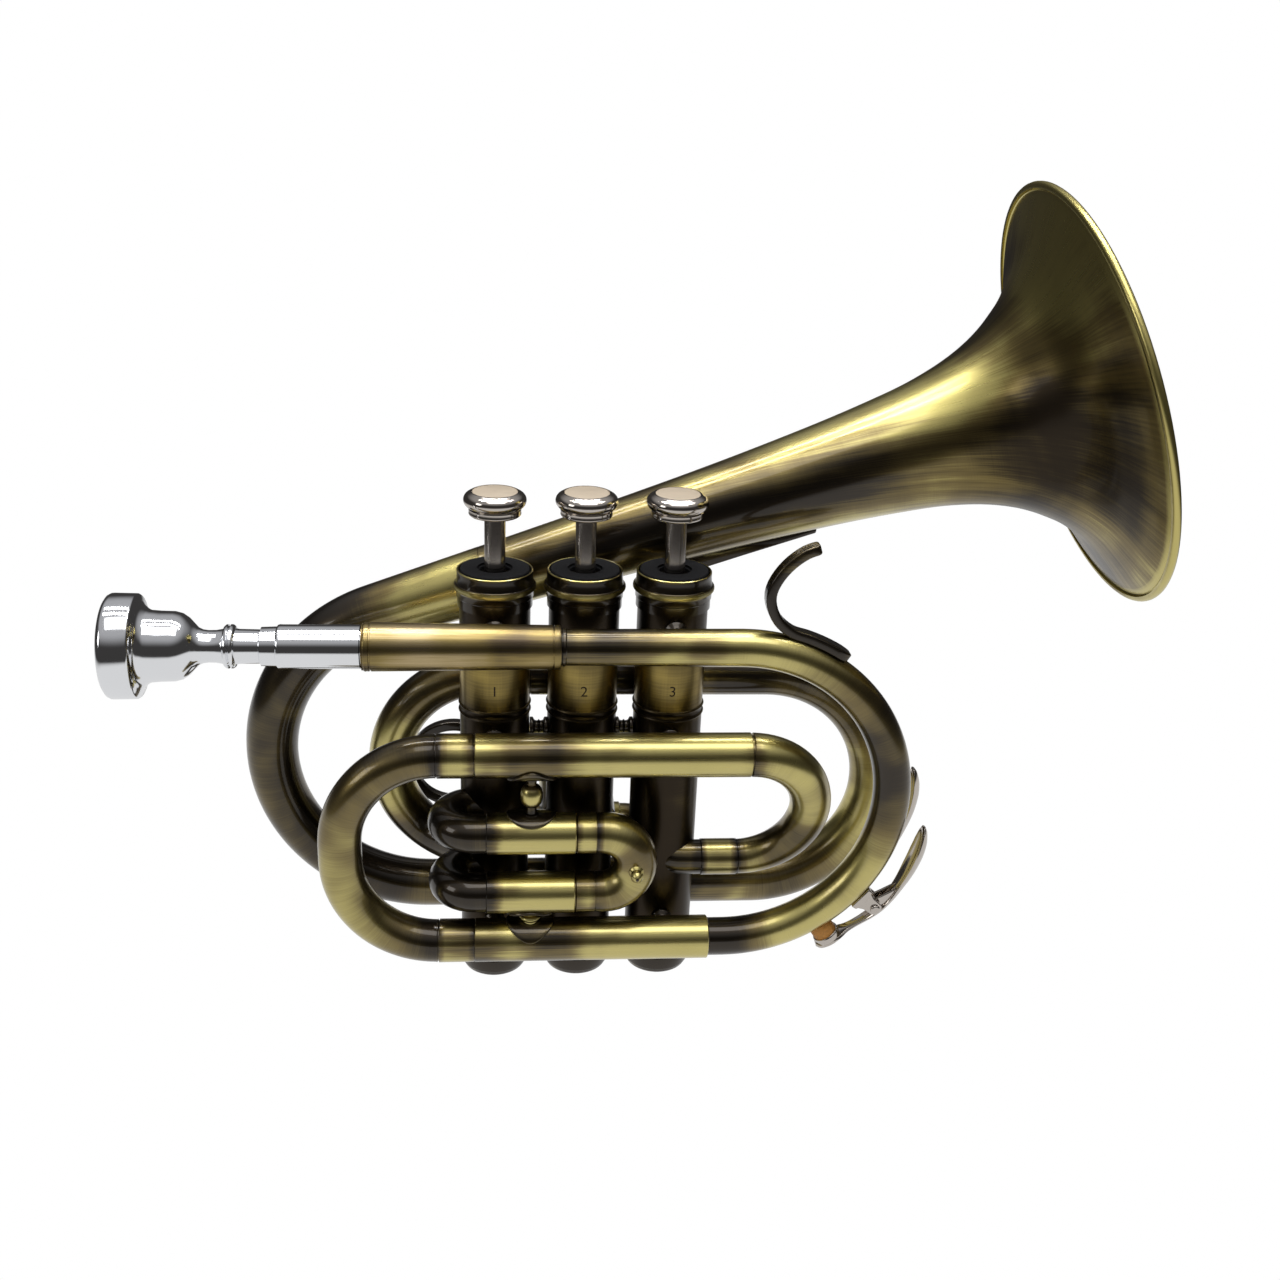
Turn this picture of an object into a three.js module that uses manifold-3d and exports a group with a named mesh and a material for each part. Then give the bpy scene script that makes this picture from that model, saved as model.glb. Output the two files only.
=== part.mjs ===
// Pocket trumpet in B flat, in millimetres.
// x runs from the mouthpiece to the bell, y to the player's left hand, z up along the valves.
// The origin is the middle of the second valve's bottom cap, where the horn stands.
import * as THREE from 'three'
import { mergeVertices } from 'three/addons/utils/BufferGeometryUtils.js'
import Module from 'manifold-3d'

const wasm = await Module()
wasm.setup()

// Fineness of the round shapes
const tubeSides = 12
const valveSides = 16
const bellSides = 24
const smallSides = 8
const turnSag = 0.5
const leastTurnCount = 2
const swingCount = 6

// Fits
const seatGap = 0.3
const slideGap = 0.15
const cutOverrun = 2
const weldSink = 0.8
const mergeReach = 1e-5

// Valves
const valveCount = 3
const valveStroke = 13.5
const pistonRadius = 8.4
const pistonGap = 0.35
const casingWall = 1.2
const casingNeck = { depth: 0.55, lowerRun: 5.6, upperRun: 7.9 }
const casingRing = { lift: 0.3, width: 3.2, heightShare: 0.6742 }
const valveSpace = 5.1
const bottomCap = { wall: 0.3, faceInset: 2.4, edgeInset: 0.7, edgeHeight: 1, floor: 2.4, casingRest: 0.4 }
const topCap = {
  skirtWall: 0.8, knurlLift: 0.85, knurl: 1.9, bead: 2.2, lipInset: 0.2, lipWall: 0.4, lip: 1.4, plateGap: 0.4,
  plate: 0.7
}
const capFelt = { height: 1.4, holeRoom: 0.9 }
const stem = { radius: 2.9, room: 0.6 }
const piston = { spareDrop: 3.6, length: 74.5, wall: 1.6, cup: 14.5, shoulderInset: 3.9, shoulderHeight: 2 }
const button = {
  spareDrop: 1.7, rimRadius: 8.3, collarInset: 1.3, collar: 1.6, flare: 1.2, rim: 2.2, faceInset: 1.5, dome: 1.7,
  inlayInset: 0.6, inlayDepth: 0.9
}
const spring = { room: 1.2, wire: 0.8 }

const casingBore = pistonRadius + pistonGap
const casingRadius = casingBore + casingWall
const neckRadius = casingRadius - casingNeck.depth
const neckSeat = neckRadius + seatGap
const valvePitch = 2 * casingRadius + valveSpace
const valveX = number => (number - (valveCount + 1) / 2) * valvePitch
const firstValveX = valveX(1)
const lastValveX = valveX(valveCount)

// Mouthpiece and receiver. Shares are of the length outside the receiver and of the rim's radius
const mouthpiece = {
  length: 84.3, inserted: 18.7, shoulderGap: 0.6, rimRadius: 13.86, plugRadius: 5.15, tipRadius: 4.85, throat: 1.9,
  backbore: 4.1,
  outsideShares: [
    [0, 0.912], [0.018, 1], [0.126, 1], [0.148, 0.75], [0.169, 0.664], [0.283, 0.664], [0.329, 0.52],
    [0.36, 0.31], [0.465, 0.31], [0.474, 0.422], [0.5, 0.422], [0.509, 0.328], [0.606, 0.328], [0.606, 0.379],
    [0.674, 0.379], [0.692, 0.426], [1, 0.426]
  ],
  insideShares: [[0.188, 0.137], [0.151, 0.299], [0.085, 0.512], [0, 0.599]],
  throatShare: 0.262
}
const receiver = {
  length: 52.6, reach: 17.8, leftRadius: 6.6, rightRadius: 5.95, room: 0.5, socket: 21.8, ring: 1.6,
  ringGroove: 0.5, grooveDepth: 0.35, endRing: 1.5
}

// Front tubes: lead pipe, tuning slide and first slide lie before the valves
const outerTube = { radius: 6.3, wall: 0.6 }
const innerWall = 0.65
const frontSpace = 3.65
const leadSpace = 4.6
const upperOuter = { leftReach: 5.3, rightReach: 21.7 }
const lowerOuter = { leftReach: 5.6, rightReach: 12.4 }
const mainSlide = { ferrule: 10.4, ferruleLift: 0.65, bowLift: 0.55, turnShare: 0.9082, leg: 34 }
const leadPipe = { radius: 4.85, bendRadius: 5.2, endRadius: 5.5, wall: 0.5, bendReach: 16.8 }
const inletBow = {
  skinInset: 0.05, legRadius: 5.1, wall: 0.6, ferruleLift: 0.3, ferrule: 10.9, reach: 19.6, legInset: 3.95,
  legRise: 18.9, legReach: 5.6, endTurn: 7, endAngleShare: 0.3
}
const outerBore = outerTube.radius - outerTube.wall
const legSkin = outerBore - slideGap
const innerBore = legSkin - innerWall
const frontY = -(casingRadius + outerTube.radius + frontSpace)
const leadY = -(casingRadius + receiver.leftRadius + leadSpace)
const receiverLeft = firstValveX + receiver.reach - receiver.length
const leadPipeStart = receiverLeft + receiver.socket
const leadBendX = lastValveX + leadPipe.bendReach
const upperLeft = firstValveX - upperOuter.leftReach
const upperRight = lastValveX + upperOuter.rightReach
const lowerLeft = firstValveX - lowerOuter.leftReach
const lowerRight = lastValveX + lowerOuter.rightReach
const inletY = inletBow.legInset - casingRadius
const inletPortDegrees = -26.6
const inletBore = inletBow.legRadius - inletBow.wall

// Passages between the valves
const crossover = { rise: 16, radius: 5, wall: 0.6 }

// Valve slides
const firstSlide = {
  span: 19.3, portInset: 5.95, elbowReach: 5.6, elbowRadius: 5.6, tubeRadius: 6.05, wall: 0.6,
  leftReach: 2.2, rightReach: 23, ferrule: 5.6, bowLift: 0.55, bowStraight: 2, leg: 20
}
const pullNub = { radius: 1.3, headRadius: 1.7, length: 3.2 }
const secondSlide = {
  lift: 0.35, spread: 0.4, tubeRadius: 5.6, wall: 0.6, reach: 14.05, ferrule: 3.4, bowLift: 0.45, leg: 11
}
const thirdSlide = {
  upperLift: 5.9, lowerDrop: 3.6, behind: 18.05, elbowTurn: 10, elbowRadius: 5.6, tubeRadius: 6.05, wall: 0.6,
  reach: 33, ferrule: 4.6, bowLift: 0.55, leg: 18
}
const fingerRing = { inner: 11.8, band: 3.05, width: 3.6, reach: 5.05, rise: 2.65 }
const firstPortY = firstSlide.portInset - casingRadius
const secondHalfSpan = secondSlide.tubeRadius + secondSlide.spread
const secondEnd = casingRadius + secondSlide.reach
const thirdY = casingRadius + thirdSlide.behind
const thirdLeft = lastValveX - thirdSlide.reach

// Bell and the tubes behind the valves
const rearSpace = 12.05
const rearTopDrop = 38.6
const rearLowZ = 15
const rearJoinReach = 17
const rearTurnReach = 32.8
// The bell's axis passes this far above the third casing's top, and its narrow end is this far right of the first valve
const bellOverCasing = 9.183157
const bellEndReach = 1.146714
const bellRim = { reach: 119, radius: 62.1, bead: 1.25 }
const bellRiseDegrees = 18.5
const bellWall = 0.6
// Shares of the bell's length, back from the rim, and of how far the rim is wider than the narrow end
const bellFlareShares = [
  [0.0141, 0.8719], [0.0339, 0.7094], [0.0621, 0.5392], [0.1017, 0.4092], [0.1525, 0.2964], [0.226, 0.2027],
  [0.339, 0.1338], [0.4802, 0.086], [0.678, 0.0421], [0.904, 0.0115]
]
const tail = { bellEnd: 9.8, bowStart: 8.6, bowMid: 7.6, bowEnd: 7.3, rearEnd: 6.5, valveEnd: 5.8, reach: 67.3 }
const leftBow = {
  turnReach: 2.6, turnRadius: 29.4, turnDegrees: 127, endDrop: 2.5, portDegrees: 130, endRun: 7.5, endPull: 12
}
const rearY = casingRadius + rearSpace
const rearJoinX = firstValveX + rearJoinReach
const rearTurnX = lastValveX + rearTurnReach

// Braces, stays and trim
const stay = { radius: 2, footRadius: 3.2, foot: 0.9 }
const brace = {
  reach: 10.4, flangeRadius: 7, firstWrapShare: 0.7603, tuningWrapShare: 0.9365, plate: 0.8, footRadius: 2.4,
  postRadius: 2.6, waistRadius: 1.4, neckRun: 2.2
}
const casingStay = { room: 0.6, radius: 2.6, waistRadius: 1.5, flangeShare: 0.35 }
// The hook's line, in shares of its width and height from its lowest left corner
const hook = {
  width: 4.6, thickness: 2.4, rise: 23.9, reach: 12.3, leftReach: 7, clear: 4.9,
  lineShares: [
    [1, 1], [0.699, 0.941], [0.39, 0.82], [0.146, 0.665], [0, 0.494], [0.008, 0.326], [0.179, 0.142], [0.504, 0]
  ],
  footOut: 1.2, footStartDegrees: 70, footEndDegrees: 56, footCount: 3
}
const bellBrace = {
  stayShare: 0.25, width: 5, leftReach: 2, rightReach: 44, leftDrop: 4.6, rightDrop: 1, legFootDrop: 14.7,
  legTopDrop: 9.2, legDepth: 4.6
}
// Runs are along the tube's skin from the pivot. The lever's shares are of its length, of the barrel's radius out from
// the pivot, and of its width
const waterKey = {
  tailRun: 18.4, touchRun: 24.4, width: 6.6, thickness: 1.4,
  leverShares: [
    [0, -0.091, 0.697], [0.103, 0, 0.697], [0.243, 0.545, 0.455], [0.383, 1.091, 0.636], [0.5, 1.182, 0.697],
    [0.64, 1.091, 0.939], [0.792, 0.909, 1], [0.921, 0.955, 0.818], [1, 1.227, 0.394]
  ],
  pivotOut: 5.2, pin: 1, pinRoom: 0.35, barrel: 2.2, cheek: 1.1, cheekHalf: 2.6, cheekLift: 1.4, footHalf: 3.4,
  footTop: 1.6,
  cupInset: 3, cupRadius: 3.8, cupWall: 0.3, cupHeight: 2.9, cupLift: 0.2, cupPlate: 1.1, drain: 1.3
}
const nearKeyDegrees = -38.5
const farKeyDegrees = -30

// Heights, stacked up from the face that the horn stands on, with the clear gaps between the front tubes
const lowerTubeZ = 21
const tubeGaps = { low: 3.65, middle: 12.25, high: 20.1, top: 1.2 }
const firstLowerZ = lowerTubeZ + outerTube.radius + tubeGaps.low + firstSlide.tubeRadius
const firstUpperZ = firstLowerZ + firstSlide.span
const upperTubeZ = firstUpperZ + firstSlide.tubeRadius + tubeGaps.middle + outerTube.radius
const leadZ = upperTubeZ + outerTube.radius + tubeGaps.high + receiver.leftRadius
const upperNeckFoot = leadZ + stay.footRadius + tubeGaps.top
const casingTop = upperNeckFoot + casingNeck.upperRun
const casingFoot = bottomCap.floor + bottomCap.casingRest
const casingLength = casingTop - casingFoot
const neckTop = casingFoot + casingNeck.lowerRun
const casingRingHeight = casingFoot + casingLength * casingRing.heightShare
const secondZ = (firstUpperZ + firstLowerZ) / 2 + secondSlide.lift
const thirdUpperZ = firstUpperZ + thirdSlide.upperLift
const thirdLowerZ = firstLowerZ - thirdSlide.lowerDrop
const crossoverZ = firstUpperZ + crossover.rise
const casingStayZ = crossoverZ + crossover.radius + casingStay.room + casingStay.radius
const inletZ = lowerTubeZ + inletBow.legRise
const leftEndZ = firstLowerZ - leftBow.endDrop
const rearTopZ = casingTop - rearTopDrop
const capPlateTop = casingTop + topCap.plateGap + topCap.plate
const feltTop = capPlateTop + seatGap + capFelt.height
const pistonFoot = bottomCap.floor + valveStroke + piston.spareDrop
const pistonTop = pistonFoot + piston.length
const pistonCupTop = pistonFoot + piston.cup
const buttonFoot = feltTop + valveStroke + button.spareDrop

// Finishes
const finish = {
  antique: new THREE.MeshStandardMaterial({ color: 0x8f7f45, roughness: 0.38, metalness: 1 }),
  patina: new THREE.MeshStandardMaterial({ color: 0x3a3024, roughness: 0.42, metalness: 1 }),
  paleBrass: new THREE.MeshStandardMaterial({ color: 0xa08a52, roughness: 0.45, metalness: 1 }),
  silver: new THREE.MeshStandardMaterial({ color: 0xd9dade, roughness: 0.12, metalness: 1 }),
  nickel: new THREE.MeshStandardMaterial({ color: 0xb7b0a4, roughness: 0.2, metalness: 1 }),
  inlay: new THREE.MeshStandardMaterial({ color: 0xb9aa92, roughness: 0.35, metalness: 0.2 }),
  felt: new THREE.MeshStandardMaterial({ color: 0x161616, roughness: 0.95, metalness: 0 }),
  amber: new THREE.MeshStandardMaterial({ color: 0xb9741a, roughness: 0.6, metalness: 0 })
}

const along = {
  x: new THREE.Vector3(1, 0, 0),
  y: new THREE.Vector3(0, 1, 0),
  z: new THREE.Vector3(0, 0, 1)
}
const halfTurn = Math.PI
const quarterTurn = Math.PI / 2
const point = (x, y, z) => new THREE.Vector3(x, y, z)
const lerp = (a, b, share) => a + (b - a) * share
const turnSteps = (radius, angle) =>
  Math.max(leastTurnCount, Math.ceil(Math.abs(angle) / (2 * Math.acos(1 - turnSag / radius))))

const leadBend = { x: leadBendX, z: (leadZ + lowerTubeZ) / 2, radius: (leadZ - lowerTubeZ) / 2 }
const rearBend = { x: rearTurnX, z: (rearTopZ + rearLowZ) / 2, radius: (rearTopZ - rearLowZ) / 2 }
const level = degrees => {
  const angle = THREE.MathUtils.degToRad(degrees)
  return point(Math.cos(angle), Math.sin(angle), 0)
}
const bellRise = THREE.MathUtils.degToRad(bellRiseDegrees)
const bellHeading = point(Math.cos(bellRise), 0, Math.sin(bellRise))
const bellRimZ = casingTop + bellOverCasing + bellRim.reach * Math.tan(bellRise)
const bellRimCentre = point(lastValveX + bellRim.reach, rearY, bellRimZ)
const bellLength = (bellRimCentre.x - firstValveX - bellEndReach) / Math.cos(bellRise)
const bellEnd = bellRimCentre.clone().addScaledVector(bellHeading, -bellLength)
const bellFlare = bellFlareShares.map(
  ([back, radius]) => ({ back: back * bellLength, radius: lerp(tail.bellEnd, bellRim.radius, radius) }))
const slideHeading = number => number === 1 ? along.x.clone() : along.y.clone()
const inletPortHeading = level(inletPortDegrees)
const leftPortHeading = level(leftBow.portDegrees)

// A closed, merged body from any closed geometry, its faces turned outward
function bodyOf (geometry) {
  geometry.deleteAttribute('normal')
  geometry.deleteAttribute('uv')
  const merged = mergeVertices(geometry, mergeReach)
  const place = merged.attributes.position
  const corners = []
  let volume = 0
  for (let i = 0; i < merged.index.count; i += 3) {
    const [a, b, c] = [0, 1, 2].map(k => merged.index.getX(i + k))
    if (a === b || b === c || c === a) continue
    corners.push([a, b, c])
    const [p, q, r] = [a, b, c].map(k => new THREE.Vector3().fromBufferAttribute(place, k))
    volume += p.dot(q.cross(r))
  }
  const triangles = volume < 0 ? corners.map(([a, b, c]) => [a, c, b]) : corners
  return new wasm.Manifold(new wasm.Mesh({
    numProp: 3,
    vertProperties: new Float32Array(place.array),
    triVerts: new Uint32Array(triangles.flat())
  }))
}

function geometryOf (body) {
  const mesh = body.getMesh()
  const geometry = new THREE.BufferGeometry()
  const places = new Float32Array(mesh.numVert * 3)
  for (let i = 0; i < mesh.numVert; i++) {
    for (let k = 0; k < 3; k++) places[i * 3 + k] = mesh.vertProperties[i * mesh.numProp + k]
  }
  geometry.setAttribute('position', new THREE.BufferAttribute(places, 3))
  geometry.setIndex(Array.from(mesh.triVerts))
  geometry.computeVertexNormals()
  return geometry
}

// A body turned on the z axis, from [radius, height] pairs that close on the axis or on themselves
function turned (outline, sides = valveSides) {
  const points = outline.map(([radius, height]) => new THREE.Vector2(radius, height))
  const onAxis = outline[0][0] === 0 && outline[outline.length - 1][0] === 0
  if (!onAxis) points.push(points[0].clone())
  return new THREE.LatheGeometry(points, sides).rotateX(quarterTurn)
}

function sleeve (outer, bore, foot, top, sides = valveSides) {
  return turned([[bore, foot], [outer, foot], [outer, top], [bore, top]], sides)
}

function rod (radius, foot, top, sides = tubeSides) {
  return turned([[0, foot], [radius, foot], [radius, top], [0, top]], sides)
}

// Turns a body made on the z axis so that the axis runs from one point to another
function laidFrom (geometry, from, heading) {
  const turn = new THREE.Quaternion().setFromUnitVectors(along.z, heading.clone().normalize())
  return geometry.applyQuaternion(turn).translate(from.x, from.y, from.z)
}

function rodBetween (from, to, radius, sides = smallSides) {
  const heading = to.clone().sub(from)
  return laidFrom(rod(radius, 0, heading.length(), sides), from, heading)
}

// A tube's route: rings are set down along straights and turns, each with its radius and bore
class Route {
  constructor (start, heading, radius, bore) {
    this.here = start.clone()
    this.heading = heading.clone().normalize()
    this.radius = radius
    this.bore = bore
    this.rings = []
    this.setRing()
  }

  setRing () {
    const [at, heading] = [this.here.clone(), this.heading.clone()]
    this.rings.push({ at, heading, radius: this.radius, bore: this.bore })
  }

  step (radius, bore = this.bore) {
    this.radius = radius
    this.bore = bore
    this.setRing()
    return this
  }

  straight (length, radius = this.radius, bore = this.bore) {
    this.here.addScaledVector(this.heading, length)
    this.radius = radius
    this.bore = bore
    this.setRing()
    return this
  }

  turn (turnRadius, angle, axis, radius = this.radius, bore = this.bore) {
    const unitAxis = axis.clone().normalize()
    const centre = this.here.clone().add(unitAxis.clone().cross(this.heading).multiplyScalar(turnRadius))
    const steps = turnSteps(turnRadius + this.radius, angle)
    const [firstRadius, firstBore] = [this.radius, this.bore]
    const arm = this.here.clone().sub(centre)
    const startHeading = this.heading.clone()
    for (let i = 1; i <= steps; i++) {
      const share = i / steps
      this.here = centre.clone().add(arm.clone().applyAxisAngle(unitAxis, angle * share))
      this.heading = startHeading.clone().applyAxisAngle(unitAxis, angle * share)
      this.radius = firstRadius + (radius - firstRadius) * share
      this.bore = firstBore + (bore - firstBore) * share
      this.setRing()
    }
    return this
  }

  // Rings at given points, with each heading taken from its neighbours and the last one given or level
  through (points, radius, bore, lastHeading = this.heading.clone().negate()) {
    const [firstRadius, firstBore] = [this.radius, this.bore]
    points.forEach((place, i) => {
      const share = (i + 1) / points.length
      const before = this.here
      this.heading = i + 1 < points.length ? points[i + 1].clone().sub(before).normalize() : lastHeading.clone()
      this.radius = firstRadius + (radius - firstRadius) * share
      this.bore = firstBore + (bore - firstBore) * share
      this.here = place.clone()
      this.setRing()
    })
    return this
  }

  // The hollow tube, or the solid rod that fills it and stands proud of its skin by the room given
  geometry (hollow = true, room = 0, sides = tubeSides) {
    const side = new THREE.Vector3()
    const first = this.rings[0].heading
    side.copy(Math.abs(first.z) > Math.SQRT1_2 ? along.y : along.z).cross(first).normalize()
    const places = []
    const faces = []
    const [skin, bore] = [0, 1]
    const layerCount = hollow ? 2 : 1
    let last = first.clone()
    for (const ring of this.rings) {
      side.applyQuaternion(new THREE.Quaternion().setFromUnitVectors(last, ring.heading))
      side.addScaledVector(ring.heading, -side.dot(ring.heading)).normalize()
      last = ring.heading
      const other = ring.heading.clone().cross(side)
      for (const radius of [ring.radius + room, ring.bore].slice(0, layerCount)) {
        for (let k = 0; k < sides; k++) {
          const angle = 2 * Math.PI * (k + 0.5) / sides
          places.push(...ring.at.clone()
            .addScaledVector(side, radius * Math.cos(angle))
            .addScaledVector(other, radius * Math.sin(angle)).toArray())
        }
      }
    }
    const spot = (ring, layer, k) => (ring * layerCount + layer) * sides + k % sides
    const quad = (a, b, c, d) => faces.push(a, b, c, a, c, d)
    const end = this.rings.length - 1
    for (let k = 0; k < sides; k++) {
      for (let ring = 0; ring < end; ring++) {
        quad(spot(ring, skin, k), spot(ring, skin, k + 1), spot(ring + 1, skin, k + 1), spot(ring + 1, skin, k))
        if (!hollow) continue
        quad(spot(ring + 1, bore, k), spot(ring + 1, bore, k + 1), spot(ring, bore, k + 1), spot(ring, bore, k))
      }
      if (hollow) {
        quad(spot(0, bore, k), spot(0, bore, k + 1), spot(0, skin, k + 1), spot(0, skin, k))
        quad(spot(end, skin, k), spot(end, skin, k + 1), spot(end, bore, k + 1), spot(end, bore, k))
      } else if (k > 1) {
        faces.push(spot(0, skin, 0), spot(0, skin, k), spot(0, skin, k - 1))
        faces.push(spot(end, skin, 0), spot(end, skin, k - 1), spot(end, skin, k))
      }
    }
    const geometry = new THREE.BufferGeometry()
    geometry.setAttribute('position', new THREE.BufferAttribute(new Float32Array(places), 3))
    geometry.setIndex(faces)
    return geometry
  }

  body () {
    return bodyOf(this.geometry())
  }

  filled (room) {
    return bodyOf(this.geometry(false, room))
  }
}

const horn = new THREE.Group()

function addPiece (name, body, material, parent = horn) {
  const mesh = new THREE.Mesh(geometryOf(body), material)
  mesh.name = name
  parent.add(mesh)
  return mesh
}

// A solid column as wide as a valve casing, with room to spare: it trims what meets the casing
function casingColumn (number, gap = seatGap) {
  return bodyOf(rod(casingRadius + gap, 0, casingTop, valveSides).translate(valveX(number), 0, 0))
}

// A turned post with a foot, from a tube's skin to the casing
function stayPost (from, to) {
  const heading = to.clone().sub(from)
  const length = heading.length()
  const post = turned([
    [0, 0], [stay.radius, 0], [stay.radius, length - stay.foot * 2],
    [stay.footRadius, length - stay.foot], [stay.footRadius, length], [0, length]
  ], smallSides)
  return bodyOf(laidFrom(post, from, heading))
}

// Lead pipe: from inside the receiver to the bend on the right, and back to the lower tuning tube
function leadPipeRoute () {
  const start = point(leadPipeStart, leadY, leadZ)
  const route = new Route(start, along.x, leadPipe.radius, leadPipe.radius - leadPipe.wall)
  route.straight(leadBend.x - leadPipeStart, leadPipe.bendRadius, leadPipe.bendRadius - leadPipe.wall)
  route.turn(leadBend.radius, halfTurn, along.y, leadPipe.endRadius, leadPipe.endRadius - leadPipe.wall)
  route.straight(leadBend.x - lowerRight - seatGap)
  // The lower end lies a little nearer to the valves than the mouthpiece end
  for (const ring of route.rings) ring.at.y += (frontY - leadY) * (leadZ - ring.at.z) / (leadZ - lowerTubeZ)
  return route
}

function addMouthpiece () {
  const m = mouthpiece
  const shoulder = m.length - m.inserted - m.shoulderGap
  const shown = ([run, radius]) => [radius * m.rimRadius, run * shoulder]
  const outline = [
    ...m.outsideShares.map(shown), [m.plugRadius, shoulder], [m.tipRadius, m.length], [m.backbore, m.length],
    [m.throat, m.throatShare * shoulder], ...m.insideShares.map(shown)
  ]
  const rimX = receiverLeft + m.inserted - m.length
  const body = bodyOf(laidFrom(turned(outline, tubeSides), point(rimX, leadY, leadZ), along.x))
  addPiece('mouthpiece', body, finish.silver)
}

function addLeadPipe () {
  const r = receiver
  const { length } = r
  const bore = mouthpiece.plugRadius + r.room
  const radiusAt = run => lerp(r.leftRadius, r.rightRadius, run / length)
  const deep = r.grooveDepth
  const outline = [
    [bore, 0], [radiusAt(0), 0], [radiusAt(0), r.ring], [radiusAt(0) - deep, r.ring],
    [radiusAt(0) - deep, r.ring + r.ringGroove], [radiusAt(0), r.ring + r.ringGroove],
    [r.rightRadius, length - r.endRing - r.ringGroove],
    [r.rightRadius - deep, length - r.endRing - r.ringGroove], [r.rightRadius - deep, length - r.endRing],
    [r.rightRadius, length - r.endRing], [r.rightRadius, length],
    [leadPipe.radius + seatGap, length], [leadPipe.radius + seatGap, r.socket], [bore, r.socket]
  ]
  const receiverBody = bodyOf(laidFrom(turned(outline, tubeSides), point(receiverLeft, leadY, leadZ), along.x))
  const firstBrace = frontStay(1, leadY + radiusAt(firstValveX - receiverLeft), leadZ)
  addPiece('mouthpiece_receiver', receiverBody.add(firstBrace), finish.paleBrass)
  const thirdBrace = frontStay(valveCount, leadY + leadPipe.bendRadius, leadZ)
  const pipe = leadPipeRoute().body().add(thirdBrace).subtract(drainHole(nearKeyPlace()))
  addPiece('lead_pipe', pipe, finish.antique)
}

// A short post from the skin of a front tube to the casing behind it
function frontStay (number, skinY, z) {
  const x = valveX(number)
  return stayPost(point(x, skinY - weldSink, z), point(x, 0, z)).subtract(casingColumn(number))
}

// The two fixed tubes of the tuning slide, with their stays to the outer casings
function addTuningTubes () {
  const tubes = [
    ['tuning_tube_upper', upperLeft, upperRight, upperTubeZ],
    ['tuning_tube_lower', lowerLeft, lowerRight, lowerTubeZ]
  ]
  for (const [name, left, right, z] of tubes) {
    const tube = new Route(point(left, frontY, z), along.x, outerTube.radius, outerBore).straight(right - left)
    let body = tube.body()
    for (const number of [1, valveCount]) body = body.add(frontStay(number, frontY + outerTube.radius, z))
    addPiece(name, body, finish.antique)
  }
}

function addTuningSlide () {
  const s = mainSlide
  const ferruleStart = upperLeft - seatGap
  const span = upperTubeZ - lowerTubeZ
  const turn = span / 2 * s.turnShare
  const start = point(ferruleStart + s.leg, frontY, upperTubeZ)
  const route = new Route(start, along.x.clone().negate(), legSkin, innerBore)
  route.straight(s.leg).step(legSkin + s.ferruleLift).straight(s.ferrule).step(legSkin + s.bowLift)
  const downAxis = along.y.clone().negate()
  route.turn(turn, quarterTurn, downAxis).straight(span - 2 * turn).turn(turn, quarterTurn, downAxis)
  route.step(legSkin + s.ferruleLift).straight(s.ferrule).step(legSkin).straight(s.leg)
  addPiece('tuning_slide', route.body(), finish.antique)
}

// From the upper tuning tube round to the third valve
function addInletBow () {
  const b = inletBow
  const skin = outerTube.radius - b.skinInset
  const start = point(upperRight + seatGap, frontY, upperTubeZ)
  const end = point(start.x, inletY, inletZ)
  const middle = start.clone().add(end).multiplyScalar(0.5)
  const places = []
  const steps = turnSteps(b.reach + skin, halfTurn)
  for (let i = 1; i <= steps; i++) {
    const angle = halfTurn * i / steps
    places.push(middle.clone().lerp(start, Math.cos(angle)).addScaledVector(along.x, b.reach * Math.sin(angle)))
  }
  const route = new Route(start, along.x, skin, legSkin)
  route.through(places, b.legRadius, inletBore)
  route.step(b.legRadius + b.ferruleLift).straight(b.ferrule)
  route.step(b.legRadius).straight(start.x - b.ferrule - lastValveX - b.legReach)
  route.turn(b.endTurn, halfTurn * b.endAngleShare, along.z.clone().negate()).straight(b.endTurn)
  addPiece('inlet_bow', route.body().subtract(casingColumn(valveCount)), finish.antique)
}

// First valve slide: its elbows leave the casing on the left and turn forward
function addFirstSlide () {
  const s = firstSlide
  const turnRadius = (firstPortY - frontY) / 2
  const elbowX = firstValveX - s.elbowReach
  const left = firstValveX - s.leftReach
  const right = firstValveX + s.rightReach
  const tubeBore = s.tubeRadius - s.wall
  for (const [name, z] of [['first_tube_upper', firstUpperZ], ['first_tube_lower', firstLowerZ]]) {
    const start = point(elbowX + casingRadius / 2, firstPortY, z)
    const route = new Route(start, along.x.clone().negate(), s.elbowRadius, innerBore)
    route.straight(casingRadius / 2).turn(turnRadius, halfTurn, along.z)
    route.straight(left - elbowX).step(s.tubeRadius, tubeBore).straight(right - left)
    addPiece(name, route.body().subtract(casingColumn(1)), finish.antique)
  }
  const legRadius = tubeBore - slideGap
  const bowRadius = legRadius + s.bowLift
  const bowTurn = s.span / 2
  const start = right + seatGap
  const route = new Route(point(start - s.leg, frontY, firstUpperZ), along.x, legRadius, legRadius - s.wall)
  route.straight(s.leg).step(bowRadius).straight(s.ferrule + s.bowStraight)
  route.turn(bowTurn, halfTurn, along.y)
  route.straight(s.ferrule + s.bowStraight).step(legRadius).straight(s.leg)
  const nubX = start + s.ferrule + s.bowStraight + bowTurn
  const nubFoot = bowRadius - weldSink
  const nub = turned([
    [0, 0], [pullNub.radius, 0], [pullNub.radius, pullNub.length - pullNub.radius],
    [pullNub.headRadius, pullNub.length], [pullNub.radius, pullNub.length + pullNub.radius],
    [0, pullNub.length + pullNub.headRadius]
  ], smallSides)
  const nubPlace = point(nubX, frontY - nubFoot, (firstUpperZ + firstLowerZ) / 2)
  const body = route.body().add(bodyOf(laidFrom(nub, nubPlace, along.y.clone().negate())))
  addPiece('first_slide', body, finish.antique)
}

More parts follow.
